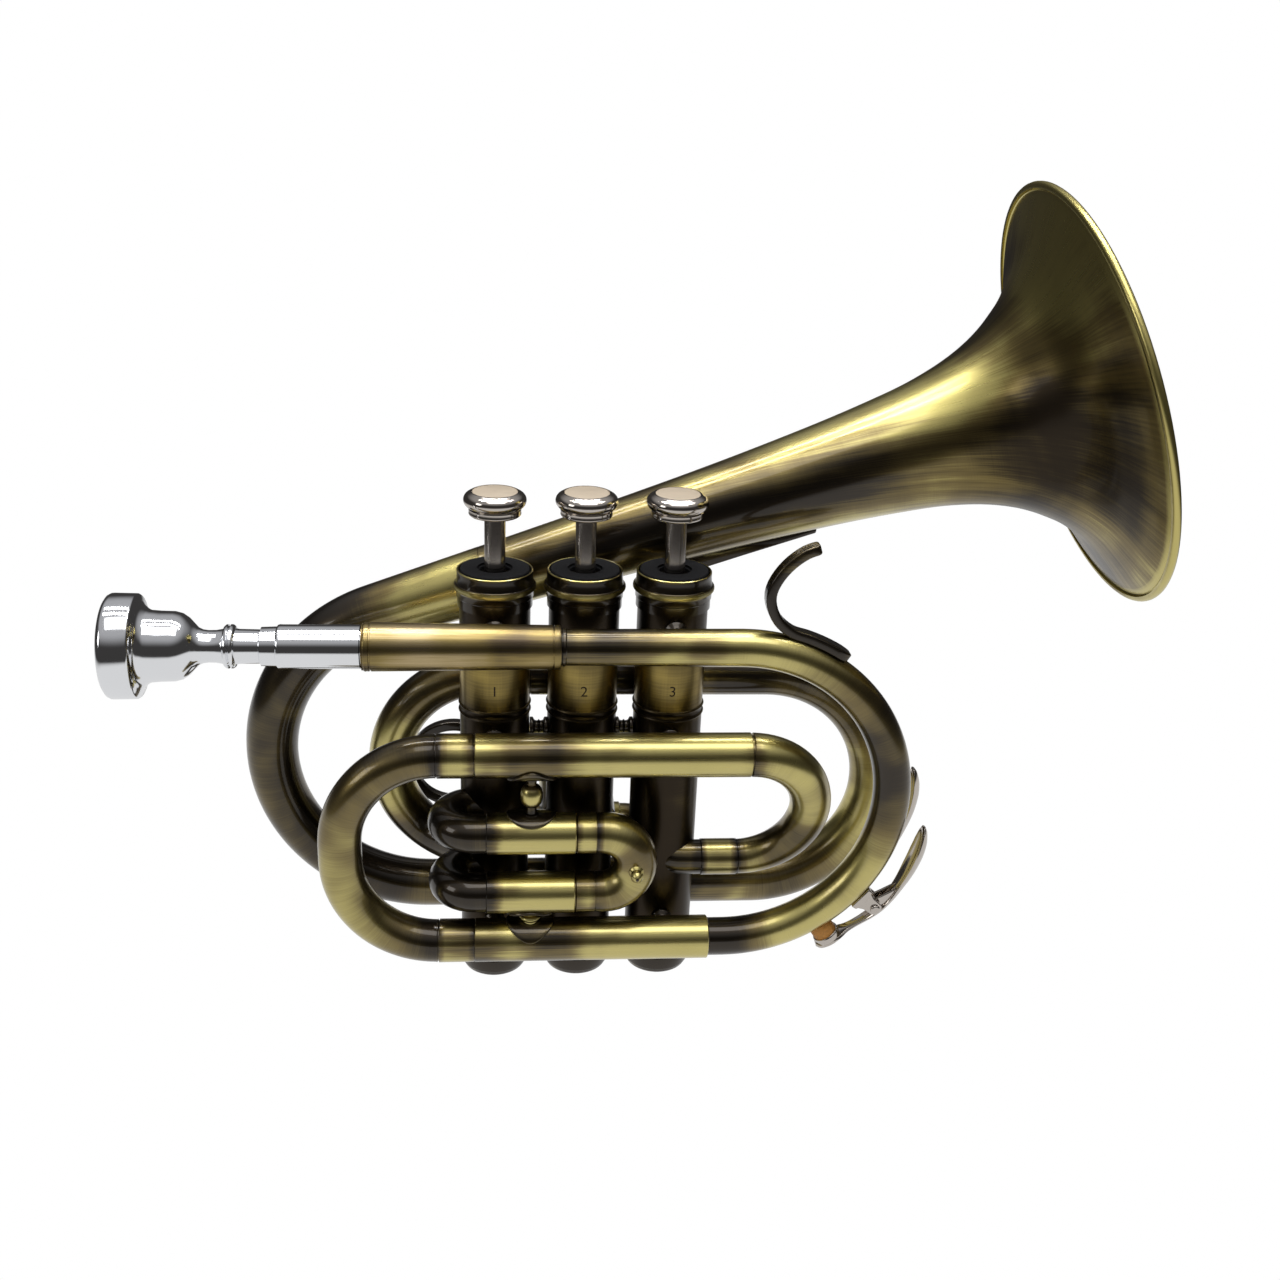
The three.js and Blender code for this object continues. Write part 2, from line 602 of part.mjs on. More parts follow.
// Second valve slide: two short tubes straight out behind the casing
function addSecondSlide () {
  const s = secondSlide
  const half = secondHalfSpan
  const middleX = valveX(2)
  const tubeBore = s.tubeRadius - s.wall
  for (const [name, side] of [['second_tube_left', -1], ['second_tube_right', 1]]) {
    const route = new Route(point(middleX + side * half, 0, secondZ), along.y, s.tubeRadius, tubeBore)
    route.straight(secondEnd)
    addPiece(name, route.body().subtract(casingColumn(2)), finish.antique)
  }
  const legRadius = tubeBore - slideGap
  const start = secondEnd + seatGap
  const route = new Route(point(middleX - half, start - s.leg, secondZ), along.y, legRadius, legRadius - s.wall)
  route.straight(s.leg).step(legRadius + s.bowLift).straight(s.ferrule)
  route.turn(half, halfTurn, along.z.clone().negate())
  route.straight(s.ferrule).step(legRadius).straight(s.leg)
  addPiece('second_slide', route.body(), finish.antique)
}

// Third valve slide: along the far side, with its bow and finger ring behind the first valve
function addThirdSlide () {
  const s = thirdSlide
  const tubeBore = s.tubeRadius - s.wall
  for (const [name, z] of [['third_tube_upper', thirdUpperZ], ['third_tube_lower', thirdLowerZ]]) {
    const route = new Route(point(lastValveX, 0, z), along.y, s.elbowRadius, innerBore)
    route.straight(thirdY - s.elbowTurn).turn(s.elbowTurn, quarterTurn, along.z)
    route.step(s.tubeRadius, tubeBore).straight(s.reach - s.elbowTurn)
    addPiece(name, route.body().subtract(casingColumn(valveCount)), finish.antique)
  }
  const legRadius = tubeBore - slideGap
  const bowRadius = legRadius + s.bowLift
  const start = thirdLeft - seatGap
  const turn = (thirdUpperZ - thirdLowerZ) / 2
  const legStart = point(start + s.leg, thirdY, thirdUpperZ)
  const route = new Route(legStart, along.x.clone().negate(), legRadius, legRadius - s.wall)
  route.straight(s.leg).step(bowRadius).straight(s.ferrule)
  route.turn(turn, halfTurn, along.y.clone().negate())
  route.straight(s.ferrule).step(legRadius).straight(s.leg)
  addPiece('third_slide', route.body(), finish.antique)
  const f = fingerRing
  const ring = sleeve(f.inner + f.band, f.inner, -f.width / 2, f.width / 2, tubeSides * 2)
  const place = point(
    start - s.ferrule - turn - bowRadius - f.reach, thirdY + bowRadius + seatGap + f.width / 2,
    (thirdUpperZ + thirdLowerZ) / 2 + f.rise)
  addPiece('finger_ring', bodyOf(laidFrom(ring, place, along.y)), finish.patina)
}

// The round bow at the left: tangent to the bell's axis above and to the low tube below
function tailBow () {
  const slope = Math.tan(bellRise)
  const left = firstValveX - tail.reach
  const lift = bellRimCentre.z - (bellRimCentre.x - left) * slope - rearLowZ
  const turnRadius = lift / (1 - slope + 1 / Math.cos(bellRise))
  const centre = point(left + turnRadius, rearY, rearLowZ + turnRadius)
  const start = centre.clone().add(point(-Math.sin(bellRise), 0, Math.cos(bellRise)).multiplyScalar(turnRadius))
  return { turnRadius, centre, start }
}

// The bell's outer or inner skin, as [radius, height] pairs up from its narrow end
function bellSkin (inset) {
  const flare = [...bellFlare].reverse()
  return [
    [tail.bellEnd - inset, 0], ...flare.map(({ back, radius }) => [radius - inset, bellLength - back])
  ]
}

function bellBody (outline) {
  return bodyOf(laidFrom(turned(outline, bellSides), bellEnd, bellHeading))
}

function addBell () {
  const r = bellRim.radius - bellRim.bead
  const b = bellRim.bead
  const slant = b * Math.SQRT1_2
  const bead = [
    [r, bellLength - b], [r + slant, bellLength - slant], [r + b, bellLength], [r + slant, bellLength + slant],
    [r, bellLength + b], [r - slant, bellLength + slant]
  ]
  addPiece('bell', bellBody([...bellSkin(0), ...bead, ...bellSkin(bellWall).reverse()]), finish.antique)
}

// A post from the skin of a tube behind the valves to the casing
function rearStay (number, z, tubeRadius) {
  const x = valveX(number)
  return stayPost(point(x, rearY - tubeRadius + weldSink, z), point(x, 0, z)).subtract(casingColumn(number))
}

function rearRoute () {
  const start = point(rearJoinX + seatGap, rearY, rearLowZ)
  const rear = new Route(start, along.x, tail.bowEnd, tail.bowEnd - bellWall)
  const run = rearTurnX - rearJoinX - seatGap
  const downAxis = along.y.clone().negate()
  rear.straight(run).turn(rearBend.radius, halfTurn, downAxis, tail.rearEnd, tail.rearEnd - bellWall)
  return rear.straight(run)
}

function addBellTail () {
  const bow = tailBow()
  const downAxis = along.y.clone().negate()
  const join = bellEnd.clone().addScaledVector(bellHeading, -seatGap)
  const tailRoute = new Route(join, bellHeading.clone().negate(), tail.bellEnd, tail.bellEnd - bellWall)
  tailRoute.straight(join.distanceTo(bow.start), tail.bowStart, tail.bowStart - bellWall)
  tailRoute.turn(bow.turnRadius, quarterTurn - bellRise, downAxis, tail.bowMid, tail.bowMid - bellWall)
  tailRoute.turn(bow.turnRadius, quarterTurn, downAxis, tail.bowEnd, tail.bowEnd - bellWall)
  tailRoute.straight(rearJoinX - bow.centre.x)
  const bellStayZ = join.z - tail.bellEnd * bellBrace.stayShare
  const bellRoom = bellBody([[0, -seatGap], ...bellSkin(-seatGap), [0, bellLength]])
  const bellStayReach = tail.bellEnd * Math.sqrt(1 - bellBrace.stayShare ** 2)
  const bellStay = rearStay(1, bellStayZ, bellStayReach).subtract(bellRoom)
  const tailStay = rearStay(1, rearLowZ, tail.bowEnd)
  addPiece('bell_tail_bow', tailRoute.body().add(tailStay).add(bellStay), finish.antique)

  const lowStay = rearStay(valveCount, rearLowZ, tail.bowEnd)
  const topStay = rearStay(valveCount, rearTopZ, tail.rearEnd)
  const rear = rearRoute().body().add(lowStay).add(topStay).subtract(drainHole(farKeyPlace()))
  addPiece('bell_rear_bow', rear, finish.antique)

  const l = leftBow
  const leftStart = point(rearJoinX, rearY, rearTopZ)
  const left = new Route(leftStart, along.x.clone().negate(), tail.rearEnd, tail.rearEnd - bellWall)
  left.straight(rearJoinX - firstValveX + l.turnReach)
  left.turn(l.turnRadius, THREE.MathUtils.degToRad(l.turnDegrees), downAxis)
  // From the round bow the tube swings in to the back of the first valve
  const end = point(firstValveX, 0, leftEndZ).addScaledVector(leftPortHeading, l.endRun)
  const swing = new THREE.CubicBezierCurve3(
    left.here.clone(), left.here.clone().addScaledVector(left.heading, l.endPull),
    end.clone().addScaledVector(leftPortHeading, l.endPull), end)
  const places = swing.getSpacedPoints(swingCount).slice(1)
  left.through(places, tail.valveEnd, tail.valveEnd - bellWall, leftPortHeading.clone().negate())
  const leftStay = rearStay(1, rearTopZ, tail.rearEnd)
  addPiece('bell_left_bow', left.body().add(leftStay).subtract(casingColumn(1)), finish.antique)
}

// Thin wedge under the bell, with a leg down to the back of the third casing
function addBellBrace () {
  const w = bellBrace
  const left = lastValveX + w.leftReach
  const right = lastValveX + w.rightReach
  const under = x => {
    const back = (bellRimCentre.x - x) / Math.cos(bellRise)
    const far = bellFlare.findIndex(ring => ring.back > back)
    const [a, b] = [bellFlare[far - 1], bellFlare[far]]
    const radius = lerp(a.radius, b.radius, (back - a.back) / (b.back - a.back))
    return bellRimCentre.z - (bellRimCentre.x - x) * Math.tan(bellRise) - radius / Math.cos(bellRise)
  }
  const plate = (outline, depth) => new THREE.ExtrudeGeometry(
    new THREE.Shape(outline.map(([a, b]) => new THREE.Vector2(a, b))), { depth, bevelEnabled: false })
  const wedge = plate([
    [left, under(left) - w.leftDrop], [right, under(right) - w.rightDrop], [right, under(right) + w.rightDrop],
    [left, under(left) + w.leftDrop]
  ], w.width)
  const wedgeBody = bodyOf(wedge.rotateX(quarterTurn).translate(0, rearY + w.width / 2, 0))
  const wedgeFoot = under(left) - w.leftDrop
  const legFoot = casingTop - w.legFootDrop
  const legTop = casingTop - w.legTopDrop
  const leg = plate([
    [casingBore / 2, legFoot], [casingRadius + w.legDepth, legFoot], [rearY + w.width / 2, wedgeFoot],
    [rearY + w.width / 2, wedgeFoot + w.leftDrop], [rearY - w.width / 2, wedgeFoot + w.leftDrop],
    [casingRadius, legTop], [casingBore / 2, legTop]
  ], w.width)
  const legBody = bodyOf(leg.rotateX(quarterTurn).rotateZ(quarterTurn).translate(left, 0, 0))
  const clear = bellBody([...bellSkin(-seatGap), [0, bellLength - bellRim.bead], [0, 0]])
  const body = wedgeBody.add(legBody).subtract(clear).subtract(casingColumn(valveCount))
  addPiece('bell_brace', body, finish.patina)
}

// A place on the outside of a bend: run is measured along the tube's skin and out from it
function keyPlace (bend, route, tubeRadius, y, degrees) {
  const skin = bend.radius + tubeRadius
  const at = (run, out) => {
    const angle = THREE.MathUtils.degToRad(degrees) + run / skin
    return point(bend.x + (skin + out) * Math.cos(angle), y, bend.z + (skin + out) * Math.sin(angle))
  }
  // Turns a flat outline in run and out, and a thickness in y, into the horn's frame
  const outward = at(0, 1).sub(at(0, 0))
  const onward = outward.clone().cross(along.y).negate()
  const frame = new THREE.Matrix4().makeBasis(onward, outward, along.y).setPosition(at(0, 0))
  return { at, frame, tubeRadius, route }
}
const nearKeyPlace = () => keyPlace(leadBend, leadPipeRoute(), leadPipe.endRadius, frontY, nearKeyDegrees)
const farKeyPlace = () => keyPlace(rearBend, rearRoute(), tail.bowEnd, rearY, farKeyDegrees)

function drainHole (place) {
  const run = waterKey.cupInset - waterKey.tailRun
  return bodyOf(rodBetween(place.at(run, -place.tubeRadius), place.at(run, cutOverrun), waterKey.drain))
}

// A flat strip along points that lie in one upright plane; its width may change from point to point
function strap (points, widths, thickness) {
  const places = []
  const faces = []
  points.forEach((place, i) => {
    const heading = (points[i + 1] ?? place).clone().sub(points[i - 1] ?? place).normalize()
    const rise = heading.cross(along.y)
    for (const [side, lift] of [[-1, -1], [1, -1], [1, 1], [-1, 1]]) {
      const corner = place.clone().addScaledVector(along.y, side * widths[i] / 2)
      places.push(...corner.addScaledVector(rise, lift * thickness / 2).toArray())
    }
  })
  const quad = (a, b, c, d) => faces.push(a, b, c, a, c, d)
  const cornerCount = 4
  const spot = (i, k) => i * cornerCount + k % cornerCount
  const end = points.length - 1
  for (let i = 0; i < end; i++) {
    for (let k = 0; k < cornerCount; k++) quad(spot(i, k), spot(i, k + 1), spot(i + 1, k + 1), spot(i + 1, k))
  }
  quad(...[0, 1, 2, 3].map(k => spot(0, k)).reverse())
  quad(...[0, 1, 2, 3].map(k => spot(end, k)))
  const geometry = new THREE.BufferGeometry()
  geometry.setAttribute('position', new THREE.BufferAttribute(new Float32Array(places), 3))
  geometry.setIndex(faces)
  return bodyOf(geometry)
}

// Water key: a saddle with two cheeks and a pin, a lever that turns on the pin, and a cork
function addWaterKey (name, place) {
  const k = waterKey
  const pivot = place.at(0, k.pivotOut)
  const across = (from, to, radius, sides) => bodyOf(rodBetween(
    pivot.clone().addScaledVector(along.y, from), pivot.clone().addScaledVector(along.y, to), radius, sides))
  const cupRun = k.cupInset - k.tailRun
  const upright = (radius, from, to) =>
    bodyOf(rodBetween(place.at(cupRun, from), place.at(cupRun, to), radius, tubeSides))
  const plate = (outline, from, to) => {
    const shape = new THREE.Shape(outline.map(([run, out]) => new THREE.Vector2(run, out)))
    const geometry = new THREE.ExtrudeGeometry(shape, { depth: to - from, bevelEnabled: false })
    return bodyOf(geometry.translate(0, 0, from).applyMatrix4(place.frame))
  }
  const skin = place.route.filled(seatGap)
  const inner = k.cheekHalf + seatGap
  const outer = inner + k.cheek
  const cupTop = k.pivotOut + k.cupLift
  const cupFoot = cupTop - k.cupHeight
  const cupFloor = cupTop - k.cupPlate
  const corkRadius = k.cupRadius - k.cupWall - seatGap

  const strip = strap(
    k.leverShares.map(([run, out]) => place.at(lerp(-k.tailRun, k.touchRun, run), k.pivotOut + out * k.barrel)),
    k.leverShares.map(([, , width]) => width * k.width), k.thickness)
  const lever = strip.add(across(-k.cheekHalf, k.cheekHalf, k.barrel, tubeSides))
    .add(upright(k.cupRadius, cupFoot, cupTop))
    .subtract(upright(k.cupRadius - k.cupWall, cupFoot - k.cupRadius, cupFloor))
    .subtract(across(-inner, inner, k.pin + k.pinRoom, tubeSides))
  addPiece(`${name}_lever`, lever, finish.nickel)
  const cork = upright(corkRadius, -corkRadius, cupFloor - seatGap).subtract(skin)
  addPiece(`${name}_cork`, cork, finish.amber)

  const cheek = [
    [-k.footHalf, -k.barrel], [k.footHalf, -k.barrel], [k.barrel, k.pivotOut],
    [k.barrel / 2, k.pivotOut + k.cheekLift], [-k.barrel / 2, k.pivotOut + k.cheekLift], [-k.barrel, k.pivotOut]
  ]
  const foot = [
    [-k.footHalf, -k.barrel], [k.footHalf, -k.barrel], [k.footHalf, k.footTop], [-k.footHalf, k.footTop]
  ]
  const saddle = plate(cheek, -outer, -inner).add(plate(cheek, inner, outer)).add(plate(foot, -outer, outer))
    .add(across(-outer, outer, k.pin, tubeSides)).subtract(skin)
  addPiece(`${name}_saddle`, saddle, finish.nickel)
}

// Short tubes between the casings carry the air from valve to valve
function addCrossovers () {
  for (const [name, number] of [['crossover_12', 1], ['crossover_23', 2]]) {
    const bore = crossover.radius - crossover.wall
    const route = new Route(point(valveX(number), 0, crossoverZ), along.x, crossover.radius, bore)
    const body = route.straight(valvePitch).body()
    addPiece(name, body.subtract(casingColumn(number)).subtract(casingColumn(number + 1)), finish.patina)
  }
}

// Where a tube's bore opens into a casing: the heading runs outward from the valve's axis
function ports (number) {
  const toLeft = along.x.clone().negate()
  const crossing = { from: point(0, 0, crossoverZ) }
  const list = {
    1: [
      { from: point(0, firstPortY, firstUpperZ), heading: toLeft },
      { from: point(0, firstPortY, firstLowerZ), heading: toLeft },
      { from: point(0, 0, leftEndZ), heading: leftPortHeading },
      { ...crossing, heading: along.x }
    ],
    2: [
      { from: point(-secondHalfSpan / 2, 0, secondZ), heading: along.y },
      { from: point(secondHalfSpan / 2, 0, secondZ), heading: along.y },
      { ...crossing, heading: along.x },
      { ...crossing, heading: toLeft }
    ],
    3: [
      { from: point(0, 0, thirdUpperZ), heading: along.y },
      { from: point(0, 0, thirdLowerZ), heading: along.y },
      { from: point(0, inletY / 2, inletZ), heading: inletPortHeading },
      { ...crossing, heading: toLeft }
    ]
  }
  return list[number].map(({ from, heading }) => {
    const reach = heading.clone().normalize().multiplyScalar(casingRadius + cutOverrun)
    return bodyOf(rodBetween(from, from.clone().add(reach), inletBore))
  })
}

function casingBody (number) {
  const ring = casingRing
  const r = casingRadius
  const z = casingRingHeight
  let body = bodyOf(turned([
    [casingBore, casingFoot], [neckRadius, casingFoot], [neckRadius, neckTop], [r, neckTop],
    [r, z], [r + ring.lift, z], [r + ring.lift, z + ring.width], [r, z + ring.width],
    [r, upperNeckFoot], [neckRadius, upperNeckFoot], [neckRadius, casingTop], [casingBore, casingTop]
  ]))
  for (const port of ports(number)) body = body.subtract(port)
  return number === 2 ? addSpools(body) : body
}

// Two turned spools on the middle casing reach its neighbours
function addSpools (body) {
  const c = casingStay
  const gap = valvePitch - 2 * casingRadius
  const buried = casingRadius - casingBore / 2
  const outline = [
    [0, 0], [c.radius, 0], [c.radius, buried], [c.waistRadius, buried + gap * c.flangeShare],
    [c.waistRadius, buried + gap * (1 - c.flangeShare)], [c.radius, buried + gap], [c.radius, 2 * buried + gap],
    [0, 2 * buried + gap]
  ]
  const bore = bodyOf(rod(casingBore, 0, casingTop, valveSides))
  let joined = body
  for (const side of [-1, 1]) {
    const start = point(side * casingBore / 2, 0, casingStayZ)
    const spool = bodyOf(laidFrom(turned(outline, smallSides), start, along.x.clone().multiplyScalar(side)))
    const column = rod(casingRadius + seatGap, 0, casingRingHeight, valveSides)
    joined = joined.add(spool.subtract(bore).subtract(bodyOf(column.translate(side * valvePitch, 0, 0))))
  }
  return joined
}

function addValve (number) {
  const valve = new THREE.Group()
  valve.position.x = valveX(number)
  horn.add(valve)
  const add = (name, body, material) => addPiece(`${name}_${number}`, body, material, valve)

  add('valve_casing', casingBody(number), finish.patina)

  const b = bottomCap
  const bottomRadius = neckSeat + b.wall
  const bottomTop = neckTop - seatGap
  add('bottom_cap', bodyOf(turned([
    [0, 0], [bottomRadius - b.faceInset, 0], [bottomRadius - b.edgeInset, b.edgeHeight],
    [bottomRadius, b.floor], [bottomRadius, bottomTop], [neckSeat, bottomTop], [neckSeat, b.floor], [0, b.floor]
  ])), finish.patina)

  const t = topCap
  const skirt = neckSeat + t.skirtWall
  const lipRadius = skirt - t.lipInset
  const lipBore = lipRadius - t.lipWall
  const plateFoot = capPlateTop - t.plate
  const knurlTop = plateFoot - t.bead
  const knurlFoot = knurlTop - t.knurl
  const skirtFoot = upperNeckFoot + seatGap
  const lipTop = capPlateTop + t.lip
  const stemHole = stem.radius + stem.room
  add('top_cap', bodyOf(turned([
    [stemHole, plateFoot], [neckSeat, plateFoot], [neckSeat, skirtFoot], [skirt, skirtFoot],
    [skirt, knurlFoot - seatGap], [skirt + t.knurlLift, knurlFoot], [skirt + t.knurlLift, knurlTop],
    [lipRadius, lipTop], [lipBore, lipTop], [lipBore, capPlateTop], [stemHole, capPlateTop]
  ])), finish.antique)
  const felt = sleeve(lipBore - seatGap, stemHole + capFelt.holeRoom, capPlateTop + seatGap, feltTop)
  add('cap_felt', bodyOf(felt), finish.felt)

  add('piston', pistonBody(number), finish.nickel)
  add('valve_stem', bodyOf(rod(stem.radius, pistonTop + seatGap, buttonFoot - seatGap)), finish.nickel)
  const n = button
  const collarTop = buttonFoot + n.collar
  const rimFoot = collarTop + n.flare
  const rimTop = rimFoot + n.rim
  const faceHeight = rimTop + n.dome
  const inlayFoot = faceHeight - n.inlayDepth
  const collarRadius = n.rimRadius - n.collarInset
  const faceRadius = n.rimRadius - n.faceInset
  const inlayRadius = faceRadius - n.inlayInset
  add('finger_button', bodyOf(turned([
    [0, buttonFoot], [collarRadius, buttonFoot], [collarRadius, collarTop], [n.rimRadius, rimFoot],
    [n.rimRadius, rimTop], [faceRadius, faceHeight], [inlayRadius + seatGap, faceHeight],
    [inlayRadius + seatGap, inlayFoot], [0, inlayFoot]
  ])), finish.nickel)
  add('button_inlay', bodyOf(rod(inlayRadius, inlayFoot + seatGap, faceHeight, valveSides)), finish.inlay)

  const springRadius = pistonRadius - piston.wall - spring.room
  const coil = sleeve(
    springRadius, springRadius - spring.wire, b.floor + seatGap, pistonCupTop - seatGap, tubeSides)
  add('valve_spring', bodyOf(coil), finish.nickel)
}

// The piston is hollow below for its spring, and bored through for the air
function pistonBody (number) {
  const p = piston
  const cup = pistonRadius - p.wall
  const body = bodyOf(turned([
    [0, pistonCupTop], [cup, pistonCupTop], [cup, pistonFoot], [pistonRadius, pistonFoot],
    [pistonRadius, pistonTop - p.shoulderHeight], [pistonRadius - p.shoulderInset, pistonTop], [0, pistonTop]
  ], tubeSides))
  const passage = (z, heading) => {
    const reach = heading.clone().multiplyScalar(pistonRadius + cutOverrun)
    const middle = point(0, 0, z)
    return bodyOf(rodBetween(middle.clone().sub(reach), middle.clone().add(reach), innerBore, tubeSides))
  }
  const pressed = passage(crossoverZ + valveStroke, slideHeading(number))
  return body.subtract(passage(crossoverZ, along.x)).subtract(pressed)
}

// Turned braces between the tuning tubes and the first slide's tubes
function addSlideBraces () {
  const s = firstSlide
  const x = firstValveX + brace.reach
  const firstWrap = s.tubeRadius * brace.firstWrapShare
  const tuningWrap = outerTube.radius * brace.tuningWrapShare
  const tube = (z, radius) =>
    bodyOf(rodBetween(point(upperLeft, frontY, z), point(upperRight, frontY, z), radius, tubeSides))
  const spans = [
    ['slide_brace_upper', firstUpperZ, s.tubeRadius, firstWrap, upperTubeZ, outerTube.radius, tuningWrap],
    ['slide_brace_lower', lowerTubeZ, outerTube.radius, tuningWrap, firstLowerZ, s.tubeRadius, firstWrap]
  ]
  for (const [name, footZ, footTube, footWrap, topZ, topTube, topWrap] of spans) {
    const foot = footZ + footTube + seatGap
    const top = topZ - topTube - seatGap
    const neck = Math.min(brace.neckRun, (top - foot) / 3)
    const post = bodyOf(turned([
      [0, footZ], [brace.footRadius, footZ], [brace.footRadius, foot + brace.plate],
      [brace.waistRadius, foot + neck], [brace.postRadius, (foot + top) / 2], [brace.waistRadius, top - neck],
      [brace.footRadius, top - brace.plate], [brace.footRadius, topZ], [0, topZ]
    ], smallSides))
    // An oval flange bent round each tube
    const flange = (z, radius, wrap, from, to) =>
      bodyOf(rod(brace.flangeRadius, from, to).scale(1, wrap / brace.flangeRadius, 1))
        .intersect(tube(z, radius + seatGap + brace.plate).translate([-x, -frontY, 0]))
    const body = post.add(flange(footZ, footTube, footWrap, footZ, foot + brace.plate))
      .add(flange(topZ, topTube, topWrap, top - brace.plate, topZ))
      .translate([x, frontY, 0])
    const tubes = tube(footZ, footTube + seatGap).add(tube(topZ, topTube + seatGap))
    addPiece(name, body.subtract(tubes), finish.antique)
  }
}

// Little-finger hook: one bent strip that stands on the lead pipe
function addFingerHook () {
  const h = hook
  const line = h.lineShares.map(
    ([across, up]) => point(leadBend.x + h.leftReach + across * h.reach, leadY, leadZ + h.clear + up * h.rise))
  const reach = leadBend.radius + leadPipe.bendRadius + h.footOut
  for (let i = 0; i <= h.footCount; i++) {
    const angle = THREE.MathUtils.degToRad(lerp(h.footStartDegrees, h.footEndDegrees, i / h.footCount))
    line.push(point(leadBend.x + reach * Math.cos(angle), leadY, leadBend.z + reach * Math.sin(angle)))
  }
  const strip = strap(line, line.map(() => h.width), h.thickness)
  addPiece('finger_hook', strip.subtract(leadPipeRoute().filled(seatGap)), finish.patina)
}

for (let number = 1; number <= valveCount; number++) addValve(number)
addMouthpiece()
addLeadPipe()
addTuningTubes()
addTuningSlide()
addInletBow()
addFirstSlide()
addSecondSlide()
addThirdSlide()
addCrossovers()
addBell()
addBellTail()
addBellBrace()
addSlideBraces()
addFingerHook()
addWaterKey('near_key', nearKeyPlace())
addWaterKey('far_key', farKeyPlace())

export default horn
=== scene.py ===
import math

import bpy
from mathutils import Matrix, Vector


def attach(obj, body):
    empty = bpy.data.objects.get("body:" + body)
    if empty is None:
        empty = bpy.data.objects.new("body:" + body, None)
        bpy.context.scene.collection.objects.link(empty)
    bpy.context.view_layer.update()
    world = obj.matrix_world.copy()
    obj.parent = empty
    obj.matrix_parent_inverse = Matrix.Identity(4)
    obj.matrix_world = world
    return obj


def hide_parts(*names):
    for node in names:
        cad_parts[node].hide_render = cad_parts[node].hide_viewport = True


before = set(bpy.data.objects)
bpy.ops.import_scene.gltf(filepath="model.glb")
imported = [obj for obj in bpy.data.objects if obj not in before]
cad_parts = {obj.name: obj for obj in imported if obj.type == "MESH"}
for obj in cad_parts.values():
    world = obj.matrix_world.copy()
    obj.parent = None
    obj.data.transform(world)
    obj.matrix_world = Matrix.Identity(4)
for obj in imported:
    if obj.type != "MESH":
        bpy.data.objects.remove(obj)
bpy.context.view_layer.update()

bl_info = {
    "name": "Pocket trumpet",
    "version": (1, 0, 0),
    "blender": (4, 5, 0),
    "location": "3D View > Sidebar > Pocket trumpet",
    "description": "Models and finishes a pocket trumpet around its packed frame, and sets up its studio",
    "category": "Object",
}

MM = 0.001

# The horn's frame, in millimetres: the valves stand along z, the lead pipe runs along x
X, Y, Z = Vector((1, 0, 0)), Vector((0, 1, 0)), Vector((0, 0, 1))
LEAD_Y, FRONT_Y, REAR_Y = -21.15, -19.9, 22.0
LEAD_Z, UPPER_Z, LOWER_Z = 113.9, 80.9, 21.0
FIRST_UPPER_Z, FIRST_LOWER_Z, SECOND_Z, THIRD_UPPER_Z, THIRD_LOWER_Z = 56.3, 37.0, 47.0, 62.2, 33.4
PITCH, CASING_R = 25.0, 9.95
VALVES = {1: -PITCH, 2: 0.0, 3: PITCH}

# The bend of the lead pipe, and the right bow behind it
LEAD_START, LEAD_BEND_X = -38.0, 41.8
LEAD_BEND_Z, LEAD_BEND_R = (LEAD_Z + LOWER_Z) / 2, (LEAD_Z - LOWER_Z) / 2
REAR_START, REAR_Z, REAR_BEND_X, REAR_BEND_R = -7.7, 15.0, 57.8, 36.3
REAR_BEND_Z, REAR_TOP_Z = REAR_Z + REAR_BEND_R, REAR_Z + 2 * REAR_BEND_R

# The bell: the middle of its rim, its length, its way and its narrow end, then the leftmost place of its
# bows, where they meet, and the sizes of its rim and wall
BELL_RIM, BELL_LENGTH, BELL_RISE = Vector((144.0, REAR_Y, 175.2)), 177.0, math.radians(18.5)
BELL_WAY = Vector((math.cos(BELL_RISE), 0, math.sin(BELL_RISE)))
BELL_END = BELL_RIM - BELL_WAY * BELL_LENGTH
TAIL_LEFT, BOWS_MEET = -92.3, -8.0
RIM_R, RIM_BEAD, BELL_WALL = 60.85, 1.25, 0.55

# The bell's radius at distances back from its rim
FLARE = (
    (0.0, 60.9), (0.6, 59.6), (1.5, 57.6), (2.5, 55.4), (4.0, 51.7), (6, 46.9), (8.2, 42.2), (11, 38),
    (14.2, 34.4), (18, 31.2), (22.2, 28.1), (27, 25.3), (33, 22.65), (40, 20.4), (49, 18.35), (60, 16.8),
    (72, 15.45), (85, 14.3), (102, 13.05), (120, 12), (140, 11.1), (160, 10.4), (177, 9.8),
)

# Partly patina and partly painted reflection: lighter on top and underneath, darker where the bell faces the
# front
# Bright and dark places on the bell: along, degrees round, half length, half angle, amount of patina
BELL_PATINA_AND_REFLECTIONS = (
    (108, 80, 50, 38, -0.28), (142, 48, 16, 24, -0.42), (88, 2, 34, 24, 0.42), (40, 20, 26, 22, 0.3),
    (104, -62, 26, 30, -0.26), (160, 8, 9, 34, 0.24), (168, -50, 9, 13, -0.25), (16, -40, 18, 40, -0.2),
    (170, 80, 8, 45, -0.5),
)

# The tubes that the slide braces stand between: height, radius, half width of the plate
BRACE_X, BRACE_HALF = -14.6, 7
BRACED = {
    "tuning_tube_upper": (UPPER_Z, 6.3, 5.9), "first_tube_upper": (FIRST_UPPER_Z, 6.05, 4.6),
    "first_tube_lower": (FIRST_LOWER_Z, 6.05, 4.6), "tuning_tube_lower": (LOWER_Z, 6.3, 5.9),
}

